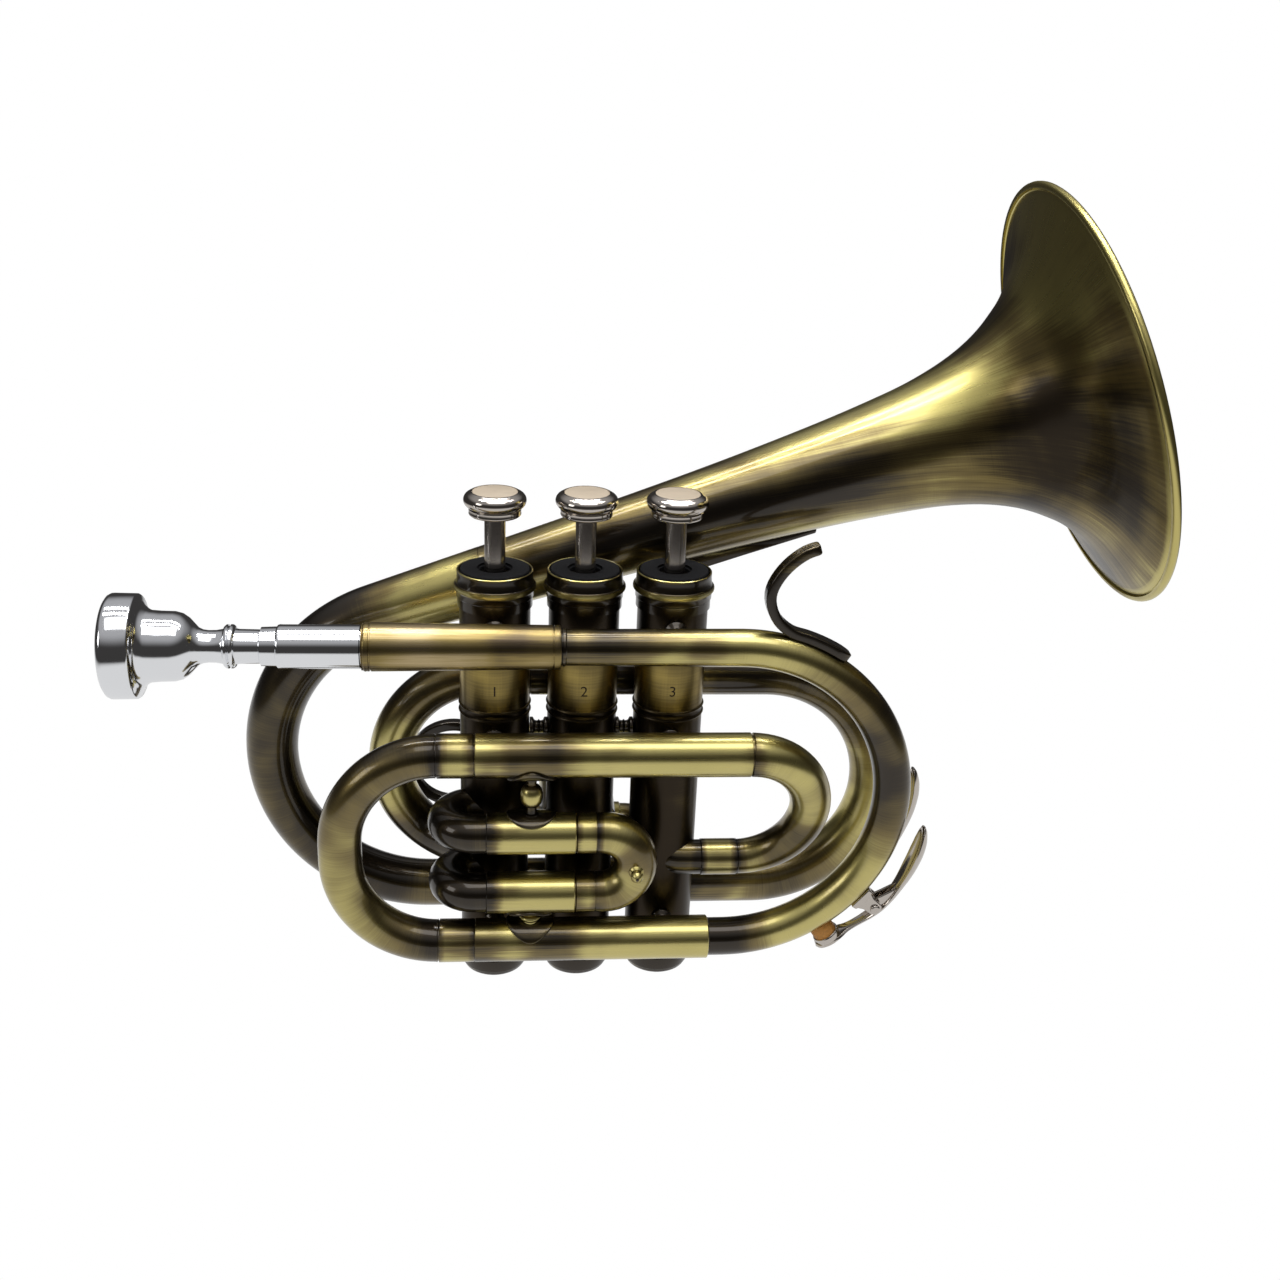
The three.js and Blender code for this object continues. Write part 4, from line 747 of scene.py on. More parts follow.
def bottom_cap(number):
    """The screwed bottom cap: a stepped dome that the horn stands on."""
    outline = [
        (0, 0), (0, 7.2), (0.25, 7.6), (0.5, 8.4), (1.1, 9.2), (2.0, 9.62), (2.4, 9.7), (2.5, 10.0),
        (6.2, 10.0), (6.5, 9.75), (6.9, 9.75), (7.1, 10.0), (8.1, 10.0), (8.1, 9.6), (2.6, 9.6), (2.6, 0)
    ]
    return turned(f"bottom_cap_skin_{number}", outline, bpy.context.scene.horn_sizes.valve_sides,
                  (VALVES[number], 0, 0), Z, dark=[(0, 0.95), (2.2, 0.7), (2.6, 0.85), (9, 0.95)], edge=1.2)


def felt(number):
    """The felt ring that lies in the top cap."""
    outline = [(127.4, 4.4), (127.4, 9.55), (128.6, 9.6), *arc((128.75, 9.2), 0.4, 60, 0, 3), (129.1, 5.3),
               *arc((128.7, 4.8), 0.4, 10, 120, 3), (128.3, 4.4), (127.4, 4.4)]
    return turned(f"cap_felt_ring_{number}", outline, 48, (VALVES[number], 0, 0), Z)


def button(number):
    """A finger button, with narrow collar, fat rounded rim and shallow seat, then its stem and its inlay."""
    rim = [
        (144.2, 0), (144.2, 6.6), *arc((144.8, 6.65), 0.55, 180, 60, 4), (146.0, 7.2), (146.2, 6.95),
        (146.4, 7.0), (146.6, 7.4), *arc((148.5, 6.5), 2.1, 150, 20, 26), (150.7, 6.9), (150.9, 6.45),
        (150.88, 6.3), (150.1, 6.25), (150.0, 0)
    ]
    stem = [(110, 0), (110, 2.9), (144.25, 2.9), (144.25, 0)]
    disc = [(150.05, 0), (150.05, 6.15), (150.7, 6.2), (150.84, 6.1), (150.9, 5.8), (150.95, 0)]
    at = (VALVES[number], 0, 0)
    return (turned(f"finger_button_cap_{number}", rim, 120, at, Z, smooth=50),
            turned(f"valve_stem_rod_{number}", stem, 40, at, Z, edge=1),
            turned(f"button_inlay_disc_{number}", disc, 64, at, Z))


class HORN_OT_valves(bpy.types.Operator):
    """Models the casings, caps, felts, stems and buttons of the valves, and the spools between casings"""
    bl_idname = "horn.valves"
    bl_label = "Valves"

    def execute(self, context):
        for number in VALVES:
            in_brass(casing(number), f"valve_casing_{number}", finish="warm brass")
            in_brass(top_cap(number), f"top_cap_{number}")
            in_brass(bottom_cap(number), f"bottom_cap_{number}")
            placed(felt(number), "felt", "horn", "black_felt", f"cap_felt_{number}")
            cap, stem, inlay = button(number)
            placed(cap, "nickel", f"valve_{number}", "nickel_plate", f"finger_button_{number}")
            placed(stem, "satin nickel", f"valve_{number}", "nickel_plate", f"valve_stem_{number}")
            placed(inlay, "inlay", f"valve_{number}", "cream_inlay", f"button_inlay_{number}")
        gap = PITCH - 2 * CASING_R
        outline = [(0, 0), (0, 2.7), (0.9, 2.7), (1.1, 2.3), (1.4, 1.7), (2.1, 1.6), (2.5, 2.0), (2.9, 1.6),
                   (3.6, 1.7), (gap - 1.1, 2.3), (gap - 0.9, 2.7), (gap, 2.7), (gap, 0)]
        for name, side in (("left", -1), ("right", 1)):
            spool = turned(f"casing_spool_{name}", outline, 40, (side * (CASING_R - 0.1), 0, 80.5), X * side,
                           dark=[(0, 0.75)], edge=1)
            in_brass(spool, "valve_casing_2", finish="dark brass")
        return {"FINISHED"}


# Mouthpiece, lead pipe and slides

class HORN_OT_mouthpiece(bpy.types.Operator):
    """Turns the mouthpiece"""
    bl_idname = "horn.mouthpiece"
    bl_label = "Mouthpiece"

    def execute(self, context):
        outline = [
            (0.0, 10.6), (0.1, 11.6), (0.45, 12.7), (1.0, 13.5), (1.7, 13.86), (2.2, 13.9), (8.0, 13.8),
            (8.4, 13.5), (8.9, 11.9), (9.3, 11.1), (9.8, 10.6), (10.6, 9.9), (11.4, 9.5), (14.0, 9.3),
            (17.6, 9.2), (19.4, 8.7), (21.0, 7.6), (22.3, 6.2), (23.4, 5.0), (24.6, 4.45), (26, 4.25),
            (28, 4.3), (29.6, 4.6), (30.0, 4.75), (30.2, 5.4), (30.7, 5.8), (31.2, 5.85), (31.3, 5.45),
            (31.55, 5.3), (31.8, 5.45), (31.9, 5.85), (32.4, 5.8), (32.9, 5.4), (33.1, 4.75), (34, 4.6),
            (39.2, 4.5), (39.4, 4.7), (39.6, 5.15), (43.6, 5.3), (43.9, 5.75), (44.4, 5.9), (45, 5.85),
            (65.2, 5.9), (65.4, 5.35), (84.3, 4.85), (84.3, 4.1), (60, 3.0), (17, 1.9), (14.6, 1.95),
            (12.6, 3.0), (10.6, 4.9), (8.0, 6.9), (5.0, 8.1), (2.4, 8.7), (1.0, 9.1), (0.3, 9.7), (0.0, 10.6)
        ]
        cup = turned("mouthpiece_turned", outline, 144, (-125.4, LEAD_Y, LEAD_Z), X, smooth=42)
        placed(cup, "silver", "mouthpiece_body", "silver_plate", "mouthpiece")
        return {"FINISHED"}


def stay_post(name, number, skin_y, z, slot, node):
    """A short turned post from a tube's skin to the casing behind it."""
    side, length = 1 if skin_y < 0 else -1, abs(skin_y) - CASING_R + 1.2
    outline = [(0, 0), (0, 2.6), (1.1, 2.4), (1.6, 1.9), (length - 2.2, 1.9), (length - 1.5, 2.6),
               (length - 1.0, 3.3), (length, 3.3), (length, 0)]
    post = turned(name, outline, 32, (VALVES[number], skin_y - side * 0.9, z), Y * side, dark=[(0, 1.1)],
                  edge=1.2)
    placed(post, "brass", "horn", slot, node)


class HORN_OT_lead_pipe(bpy.types.Operator):
    """Models the mouthpiece receiver and the lead pipe, with their stays"""
    bl_idname = "horn.lead_pipe"
    bl_label = "Lead pipe"

    def execute(self, context):
        length = 52.6

        def taper(a):
            return 6.6 + (5.95 - 6.6) * a / length

        outline = [
            (0, 5.7), (0, 6.35), *arc((0.9, taper(0.9) - 0.6), 0.62, 160, 60, 4), (1.9, taper(1.9)),
            (2.0, taper(2) - 0.3), (2.35, taper(2) - 0.3), (2.45, taper(2.4)),
            (length - 2.3, taper(length - 2.3)), (length - 2.2, 5.65), (length - 1.9, 5.65),
            (length - 1.8, 6.0), (length - 0.4, 6.0), (length - 0.1, 5.8), (length, 5.5), (length, 5.0),
            (22, 5.0), (22, 5.7), (0, 5.7)
        ]
        dark = [(0, 0.55), (1.9, 0.5), (2.8, 0.4), (16, 0.3), (34, 0.4), (46, 0.45), (length, 0.6)]
        receiver = turned("receiver_sleeve", outline, 56, (-59.8, LEAD_Y, LEAD_Z), X, dark=dark,
                          rings=[(0, 0)], step=3 * MM, gloss=[(0, 0.15)])
        placed(receiver, "pale brass", "horn", "pale_brass", "mouthpiece_receiver")

        # The bend leans forward, from the lead pipe's depth to that of the front tubes
        route = Route((LEAD_START, LEAD_Y, LEAD_Z), X).straight(LEAD_BEND_X - LEAD_START)
        route.turn(LEAD_BEND_R, 180, Y).straight(4.1)
        for point in route.points:
            point.y += (FRONT_Y - LEAD_Y) * (LEAD_Z - point.z) / (LEAD_Z - LOWER_Z)
        a, b, end = route.marks[1], route.marks[2], route.length()
        radii = [(26, 4.85), (31, 4.85), (31.2, 5.15), (31.9, 5.2), (32.2, 4.95), (a, 5.2), (b, 5.5),
                 (end, 5.5)]
        dark = [(30, 0.85), (36, 0.35), (48, 0.55), (66, 0.5), (78, 0.15), (88, 0.05), (104, 0.35),
                (120, 0.62), (142, 0.72), (160, 0.62), (176, 0.3), (192, 0.1), (206, 0.05), (214, 0.4),
                (end - 6, 0.85), (end, 0.9)]
        pipe = tube("lead_pipe_tube", route, radii, dark, [(a - 6, 0), (a + 8, 1), (b - 10, 1), (b + 2, 0.2)])
        placed(pipe, "brass", "horn", "pale_brass", "lead_pipe")
        stay_post("lead_stay_1", 1, LEAD_Y + 6.2, LEAD_Z, "pale_brass", "mouthpiece_receiver")
        stay_post("lead_stay_3", 3, LEAD_Y + 5.1, LEAD_Z, "pale_brass", "lead_pipe")
        return {"FINISHED"}


def tuning_tube(name, left, right, z, dark):
    """One of the two outer tubes of the tuning slide, with its stays."""
    length = right - left
    radii = mirrored([(0, 5.8), (0, 6.1), (0.2, 6.3)], length)
    skin = tube(f"tuning_tube_{name}_skin", Route((left, FRONT_Y, z), X).straight(length), radii,
                [(a - left, d) for a, d in dark], sides=48)
    in_brass(skin, f"tuning_tube_{name}")
    for number in (1, 3):
        stay_post(f"tuning_stay_{name}_{number}", number, FRONT_Y + 6.25, z, "aged_brass",
                  f"tuning_tube_{name}")


def tuning_bow():
    """The tuning slide's U bow, with its ferrules and legs."""
    turn, leg, ferrule = 27.2, 34.0, 10.4
    joint = leg + ferrule
    route = Route((-30.6 + leg, FRONT_Y, UPPER_Z), -X).straight(joint).turn(turn, 90, -Y)
    route.straight(UPPER_Z - LOWER_Z - 2 * turn).turn(turn, 90, -Y).straight(joint)
    end = route.marks[-1]
    half = [(0, 5.5), (leg - 0.1, 5.5), (leg, 6.1), (leg + 0.25, 6.25), (joint - 0.3, 6.25),
            *seam(joint, 6.2, 0.35, 0.4), (joint + 0.6, 6.1)]
    dark = [(leg, 0.65), (leg + 3, 0.15), (leg + 8, 0.2), (leg + 10.4, 0.85), (leg + 13, 0.5),
            (leg + 26, 0.65), (leg + 44, 0.5), (leg + 62, 0.35), (leg + 78, 0.4), (leg + 92, 0.55),
            (end - leg - 11, 0.75), (end - leg - 9, 0.3), (end - leg - 1, 0.35), (end - leg, 0.6)]
    rings = [(leg, 0), (leg + 12, 0.4), (leg + 20, 1), (end - leg - 18, 1), (end - leg - 8, 0)]
    slide = tube("tuning_slide_bow", route, mirrored(half, end), dark, rings, sides=48)
    in_brass(slide, "tuning_slide", body="tuning_slide_body")


def inlet_bow():
    """The bow from the upper tuning tube round to the third valve, and the thin tube that ends it."""
    start, low = Vector((47, FRONT_Y, UPPER_Z)), Vector((47, -6, 39.9))
    middle = (start + low) / 2
    angles = [math.pi * (k + 1) / 48 for k in range(48)]
    route = Route(start, X).add([middle.lerp(start, math.cos(a)) + X * 19.6 * math.sin(a) for a in angles])
    route.way = -X
    route.straight(16.4).turn(7, 54, -Z).straight(6)
    bow, end = route.marks[1], route.marks[-1]
    radii = [(-8, 5.5), (0, 5.5), (0.05, 6.1), (0.3, 6.25), (bow * 0.6, 5.9), (bow - 0.4, 5.15),
             *seam(bow, 5.4, 0.3, 0.4), (bow + 0.5, 5.4), (bow + 10.6, 5.4), (bow + 10.9, 5.15), (end, 5.1)]
    dark = [(0, 0.6), (4, 0.15), (22, 0.25), (34, 0.3), (bow - 12, 0.6), (bow - 3, 0.5), (bow, 0.9),
            (bow + 2, 0.35), (bow + 9, 0.3), (bow + 11, 0.9), (bow + 14, 0.6), (end, 0.9)]
    in_brass(tube("inlet_bow_tube", route, radii, dark, [(0, 0), (10, 1), (bow - 4, 1), (bow, 0)]),
             "inlet_bow")


class HORN_OT_tuning_slide(bpy.types.Operator):
    """Models the tuning slide, its two outer tubes and the bow to the third valve"""
    bl_idname = "horn.tuning_slide"
    bl_label = "Tuning slide"

    def execute(self, context):
        dark = [(-31, 0.25), (-24, 0.35), (-20, 0.62), (-8, 0.6), (4, 0.05), (20, -0.12), (40, -0.12),
                (47, 0.25)]
        tuning_tube("upper", -30.3, 46.7, UPPER_Z, dark)
        dark = [(-31, 0.55), (-20, 0.3), (-13, 0.6), (-4, 0.6), (4, 0.05), (18, -0.12), (30, -0.12),
                (38, 0.2)]
        tuning_tube("lower", -30.6, 37.4, LOWER_Z, dark)
        tuning_bow()
        inlet_bow()
        return {"FINISHED"}


def first_slide():
    """The first valve's tubes, which curve round to the front, and its slide with the pull nub."""
    inner_y = -4
    turn = (inner_y - FRONT_Y) / 2
    for name, z, dark in (
            ("upper", FIRST_UPPER_Z, [(0, 0.95), (20, 0.9), (34, 0.65), (38, -0.05), (58, -0.05), (62, 0.3)]),
            ("lower", FIRST_LOWER_Z, [(0, 0.95), (20, 0.9), (34, 0.75), (38, 0.05), (50, -0.05), (62, 0.1)])):
        route = Route((-25.6, inner_y, z), -X).straight(5).turn(turn, 180, Z).straight(28.6)
        step, end = route.marks[2] + 3.4, route.marks[3]
        rings = [(0, 0.6), (step - 2, 0.8), (step, 0)]
        in_brass(tube(f"first_tube_{name}_skin", route, sleeved(step, end), dark, rings),
                 f"first_tube_{name}")
    route = slide_route((-21.7, FRONT_Y, FIRST_UPPER_Z), X, 20, 7.6, (FIRST_UPPER_Z - FIRST_LOWER_Z) / 2, Y)
    end = route.marks[-1]
    half = [(0, 5.3), (19.9, 5.3), (20, 5.6), (20.2, 5.85), (25.3, 5.85), *seam(25.6, 5.85, 0.3, 0.35),
            (26, 5.85), (31, 6.1)]
    dark = [(20, 0.55), (22, 0.15), (25.2, 0.2), (25.8, 0.8), (28, 0.25), (38, 0.3), (46, 0.2), (56, 0.5),
            (end - 26, 0.8), (end - 24, 0.5), (end - 20, 0.6)]
    slide = tube("first_slide_bow", route, mirrored(half, end, (end / 2, 6.25)), dark,
                 mirrored([(24, 0), (30, 1)], end))
    outline = [(0, 0), (0, 2.3), (1.0, 2.1), (1.5, 1.5), (2.2, 1.35), (3.0, 1.7), (3.6, 1.75), (4.2, 1.3),
               (4.9, 0.6), (5.1, 0)]
    at = (15.2, FRONT_Y - 5.2, (FIRST_UPPER_Z + FIRST_LOWER_Z) / 2)
    nub = turned("first_slide_nub", outline, 32, at, -Y, dark=[(0, 0.35)], edge=1)
    in_brass(slide, "first_slide", body="first_slide_body")
    in_brass(nub, "first_slide", body="first_slide_body")


def second_slide():
    """The second valve's two short tubes, which run straight back, and its slide with the knob."""
    apart = 6
    for name, side in (("left", -1), ("right", 1)):
        skin = tube(f"second_tube_{name}_skin", Route((side * apart, 5, SECOND_Z), Y).straight(19),
                    [(0, 5.6), (18.8, 5.6), (19, 5.4)], [(0, 0.9), (12, 0.6), (19, 0.3)])
        in_brass(skin, f"second_tube_{name}")
    route = slide_route((-apart, 13.3, SECOND_Z), Y, 11, 3.4, apart, -Z)
    end = route.marks[-1]
    half = [(0, 4.85), (10.9, 4.85), (11, 5.1), (11.2, 5.3), (14, 5.3), *seam(14.4, 5.3, 0.25, 0.3),
            (15, 5.3)]
    dark = [(11, 0.5), (13, 0.2), (20, 0.35), (end - 20, 0.3), (end - 11, 0.5)]
    slide = tube("second_slide_bow", route, mirrored(half, end), dark, mirrored([(14, 0), (18, 1)], end))
    outline = [(0, 0), (0, 1.8), (1.2, 1.5), (2.6, 1.3), (3.6, 1.9), (4.4, 2.0), (5.0, 1.5), (5.2, 0)]
    knob = turned("second_slide_knob", outline, 32, (0, 32.9, SECOND_Z), Y, dark=[(0, 0.3)], edge=1)
    in_brass(slide, "second_slide", body="second_slide_body")
    in_brass(knob, "second_slide", body="second_slide_body")


def third_slide():
    """The third valve's tubes, which turn to the left behind the valves, and its slide."""
    for name, z in (("upper", THIRD_UPPER_Z), ("lower", THIRD_LOWER_Z)):
        route = Route((PITCH, 6, z), Y).straight(12).turn(10, 90, Z).straight(23)
        step, end = route.marks[2] + 0.4, route.marks[3]
        skin = tube(f"third_tube_{name}_skin", route, sleeved(step, end),
                    [(0, 0.9), (14, 0.75), (24, 0.7), (30, 0.3), (46, 0.4)], [(0, 0.6), (step, 0)])
        in_brass(skin, f"third_tube_{name}")
    route = slide_route((9.7, 28, THIRD_UPPER_Z), -X, 18, 4.6, (THIRD_UPPER_Z - THIRD_LOWER_Z) / 2, -Y)
    end = route.marks[-1]
    half = [(0, 5.3), (17.9, 5.3), (18, 5.6), (18.2, 5.85), (22.3, 5.85), *seam(22.6, 5.85, 0.3, 0.35),
            (23, 5.8), (26, 5.45)]
    dark = [(18, 0.5), (21, 0.3), (26, 0.5), (44, 0.35), (60, 0.6), (end - 22, 0.5), (end - 18, 0.6)]
    slide = tube("third_slide_bow", route, mirrored(half, end), dark, mirrored([(20, 0), (26, 1)], end))
    in_brass(slide, "third_slide", body="third_slide_body")


class HORN_OT_valve_slides(bpy.types.Operator):
    """Models the tubes and slides of the three valves"""
    bl_idname = "horn.valve_slides"
    bl_label = "Valve slides"

    def execute(self, context):
        first_slide()
        second_slide()
        third_slide()
        return {"FINISHED"}


# Bell and its bows

class HORN_OT_bell(bpy.types.Operator):
    """Spins the bell, with its rolled rim"""
    bl_idname = "horn.bell"
    bl_label = "Bell"

    def execute(self, context):
        skin = [(BELL_LENGTH - back, radius) for back, radius in reversed(filled(FLARE))]
        bead = arc((BELL_LENGTH, RIM_R), RIM_BEAD, 200, -130, 14)
        inside = [(along + 0.15, radius - BELL_WALL) for along, radius in reversed(skin[:-2])]
        outline = [*skin[:-1], *bead, (BELL_LENGTH - 0.2, RIM_R - 1.6), *inside, skin[0]]
        dark = [(0, 0.5), (30, 0.5), (60, 0.52), (125, 0.54), (145, 0.68), (160, 0.76), (172, 0.66),
                (175.5, 0.5), (176.4, 0.1)]
        rings = [(0, 0.15), (BELL_LENGTH - 1.6, 0.15), (BELL_LENGTH - 0.8, 1)]
        # The bell's patches are partly patina and partly painted reflection: lighter on top and underneath,
        # darker facing the front
        bell = turned("bell_spun", outline, context.scene.horn_sizes.bell_sides, BELL_END, BELL_WAY,
                      dark=dark, rings=rings, smooth=60, twist=0.5, unrolled=24, patches=BELL_PATINA_AND_REFLECTIONS,
                      gloss=[(0, 1), (110, 1), (142, 0.12)])
        in_brass(bell, "bell", finish="bell brass")
        return {"FINISHED"}


def bell_tail():
    """The bow on the left, from the bell down to the low tube."""
    # The radius at which the bow touches its leftmost place, the low tube and the bell's own line
    slope = math.tan(BELL_RISE)
    lift = BELL_RIM.z - BELL_RIM.x * slope + slope * TAIL_LEFT - REAR_Z
    radius = lift / (1 - slope + 1 / math.cos(BELL_RISE))
    centre = Vector((TAIL_LEFT + radius, REAR_Y, REAR_Z + radius))
    top = centre + Vector((-math.sin(BELL_RISE), 0, math.cos(BELL_RISE))) * radius
    start = BELL_END + BELL_WAY * 4
    route = Route(start, -BELL_WAY).straight((start - top).length)
    route.turn(radius, 90 - math.degrees(BELL_RISE), -Y).turn(radius, 90, -Y).straight(BOWS_MEET - centre.x)
    _, a, b, c, end = route.marks
    radii = [(0, 9.2), (3.9, 9.2), (4.0, 9.75), (4.3, 9.8), (7, 9.75), *seam(7.4, 9.75, 0.3, 0.35), (a, 8.6),
             (b, 7.6), (c, 7.3), (end, 7.3)]
    dark = [(0, 0.7), (8, 0.5), (20, 0.3), (42, 0.45), (58, 0.85), (76, 0.8), (88, 0.72), (110, 0.75),
            (140, 0.7), (156, 0.8), (c, 0.8), (c + 30, 0.5), (end, 0.8)]
    rings = [(0, 0), (a, 0.3), (a + 14, 1), (c - 6, 1), (c + 6, 0)]
    in_brass(tube("bell_tail_tube", route, radii, dark, rings, sides=56), "bell_tail_bow")


def bell_rear():
    """The low tube and the bow on the right."""
    run = REAR_BEND_X - REAR_START
    route = Route((REAR_START, REAR_Y, REAR_Z), X).straight(run).turn(REAR_BEND_R, 180, -Y).straight(run)
    _, a, b, end = route.marks
    radii = [(0, 6.9), (0.1, 7.2), (0.3, 7.3), (6, 7.3), *seam(6.4, 7.3, 0.25, 0.3), (a, 7.3), (b, 6.5),
             (end - 0.2, 6.5), (end, 6.3)]
    dark = [(0, 0.8), (8, 0.6), (30, 0.75), (a, 0.6), (a + 20, 0.4), (a + 44, 0.2), (a + 70, 0.55),
            (a + 100, 0.7), (b, 0.75), (end, 0.85)]
    rings = [(a - 6, 0), (a + 6, 1), (b - 6, 1), (b + 6, 0)]
    in_brass(tube("bell_rear_tube", route, radii, dark, rings, sides=48), "bell_rear_bow")


def bell_left():
    """The last bow, round and into the first valve from behind."""
    angle = math.radians(130)
    port = Vector((math.cos(angle), math.sin(angle), 0))
    end = Vector((-PITCH, 0, 34.5)) + port * 7.5
    route = Route((BOWS_MEET, REAR_Y, REAR_TOP_Z), -X).straight(19.6).turn(29.4, 127, -Y)
    route.swing(12, end, -port)
    _, a, b, end = route.marks
    radii = [(0, 6.3), (0.2, 6.5), (6, 6.5), *seam(6.4, 6.5, 0.25, 0.3), (b, 6.5), (end, 5.8)]
    dark = [(0, 0.85), (16, 0.75), (a + 14, 0.6), (a + 40, 0.15), (b - 8, 0.3), (b, 0.7), (end, 0.95)]
    rings = [(a - 4, 0), (a + 6, 1), (b, 1), (end, 0)]
    in_brass(tube("bell_left_tube", route, radii, dark, rings), "bell_left_bow")


class HORN_OT_bell_branches(bpy.types.Operator):
    """Models the round bows between the bell and the first valve, and their stays"""
    bl_idname = "horn.bell_branches"
    bl_label = "Bell branches"

    def execute(self, context):
        bell_tail()
        bell_rear()
        bell_left()
        end_z = (BELL_END - BELL_WAY * 0.3).z
        for name, number, z, reach, node in (
                ("tail_stay", 1, REAR_Z, 7.3, "bell_tail_bow"),
                ("rear_stay_low", 3, REAR_Z, 7.3, "bell_rear_bow"),
                ("rear_stay_top", 3, REAR_TOP_Z, 6.5, "bell_rear_bow"),
                ("left_stay", 1, REAR_TOP_Z, 6.5, "bell_left_bow"),
                ("bell_stay", 1, end_z - 2.5, 9.4, "bell_tail_bow")):
            stay_post(name, number, REAR_Y - reach, z, "aged_brass", node)
        return {"FINISHED"}


# Braces and trim

def flange(name, node, z, half_width, side):
    """A thin oval plate draped over a node's tube: a disc pressed on it and thickened."""
    bpy.ops.object.select_all(action="DESELECT")
    bpy.ops.mesh.primitive_circle_add(vertices=48, radius=1, fill_type="NGON")
    plate = bpy.context.object
    plate.name = plate.data.name = name
    edited(plate, *[(bpy.ops.mesh.inset, {"thickness": 0.12})] * 7)
    oval = Matrix.Diagonal((BRACE_HALF * MM, half_width * MM, MM, 1))
    moved(plate, Matrix.Translation(Vector((BRACE_X, FRONT_Y, z + side * 9)) * MM) @ oval)
    shaped(plate, "SHRINKWRAP", target=bpy.data.objects[f"{node}_skin"], wrap_method="PROJECT",
           use_project_z=True, use_negative_direction=True, use_positive_direction=True)
    shaped(plate, "SOLIDIFY", thickness=0.8 * MM, offset=side, use_even_offset=True)
    edited(plate, OUTWARD)
    rounded(plate, 0.2 * MM, 50, 2)
    grained(plate, [(0, 0.8)])
    return smoothed(plate, 50)


class HORN_OT_braces(bpy.types.Operator):
    """Models the two braces between the tuning tubes and the first valve's tubes"""
    bl_idname = "horn.braces"
    bl_label = "Slide braces"

    def execute(self, context):
        for name, low, high in (("upper", "first_tube_upper", "tuning_tube_upper"),
                                ("lower", "tuning_tube_lower", "first_tube_lower")):
            (foot_z, foot_r, foot_wrap), (top_z, top_r, top_wrap) = BRACED[low], BRACED[high]
            foot, height = foot_z + foot_r, top_z - top_r - foot_z - foot_r
            middle = height / 2
            swell = min(3.5, middle - 0.9)
            half = [(-0.2, 0), (-0.2, 2.6), (0.7, 2.4), (0.9, 1.6), (middle - swell, 1.3),
                    (middle - swell * 0.85, 2.2), (middle - swell * 0.6, 2.85), (middle - swell * 0.2, 3.2)]
            dark = mirrored([(0, 0.9), (middle - 3, 0.6), (middle - 1, 0.05)], height)
            post = turned(f"slide_brace_{name}_post", mirrored(half, height), 40, (BRACE_X, FRONT_Y, foot), Z,
                          dark=dark, smooth=60)
            foot_plate = flange(f"slide_brace_{name}_foot", low, foot_z, foot_wrap, 1)
            top_plate = flange(f"slide_brace_{name}_top", high, top_z, top_wrap, -1)
            in_brass(joined(f"slide_brace_{name}_turned", post, foot_plate, top_plate), f"slide_brace_{name}")
        return {"FINISHED"}


class HORN_OT_finger_hook(bpy.types.Operator):
    """Bends the hook for the little finger"""
    bl_idname = "horn.finger_hook"
    bl_label = "Finger hook"

    def execute(self, context):
        points = [(61.1, 142.7), (57.4, 141.3), (53.6, 138.4), (50.6, 134.7), (48.8, 130.6), (48.9, 126.6),
                  (51, 122.2), (55, 118.8)]
        reach = LEAD_BEND_R + 5.2 + 1.2
        for angle in (math.radians(degrees) for degrees in (70, 65.3, 60.6, 56)):
            points.append((LEAD_BEND_X + reach * math.cos(angle), LEAD_BEND_Z + reach * math.sin(angle)))
        path = spaced([(x, LEAD_Y, z) for x, z in points], 1.4)
        last = len(path) - 1
        widths = [min(4.4 + 1.6 * max(k - last + 12, 0) / 12, 3.2 + 1.2 * k, 3.4 + 1.4 * (last - k))
                  for k in range(last + 1)]
        hook = ribbon("finger_hook_bar", path, widths, 2.8, 1.05)
        grained(hook, [(0, 0.62)])
        in_brass(hook, "finger_hook", finish="dark brass")
        return {"FINISHED"}


def under_bell(x):
    """The height of the bell's lowest line over a place."""
    ahead = BELL_RIM.x - x
    return BELL_RIM.z - ahead * math.tan(BELL_RISE) - between(FLARE, ahead / BELL_WAY.x) / BELL_WAY.x


class HORN_OT_bell_brace(bpy.types.Operator):
    """Models the wedge under the bell, with its leg to the third valve"""
    bl_idname = "horn.bell_brace"
    bl_label = "Bell brace"

    def execute(self, context):
        left, middle, right, width = 27, 48, 69, 4.8
        outline = [Vector((x, REAR_Y, under_bell(x) + rise)) for x, rise in (
            (left, -4.4), (middle, -2.8), (right, -0.9), (right, 1.0), (middle, 2.2), (left, 4.2))]
        wedge = slab("bell_wedge", outline, REAR_Y, width, 0.6)
        low, high = under_bell(left) - 4.3, under_bell(left) + 1
        leg = ((8, 111.5), (14.2, 111.5), (24.3, low), (24.3, high), (19.7, high), (10, 117), (8, 117))
        foot = slab("bell_wedge_leg", [(y, 0, z) for y, z in leg], 0, width, 0.6)
        quarter = Matrix.Rotation(math.pi / 2, 4, "Z")
        moved(foot, Matrix.Translation(((left + width / 2) * MM, 0, 0)) @ quarter)
        brace = joined("bell_brace_plate", wedge, foot)
        # Painted shade: the whole brace is as dark as the darkest patina, for the shade under the bell
        grained(brace, [(0, 1.0)])
        in_brass(brace, "bell_brace", finish="dark brass")
        return {"FINISHED"}


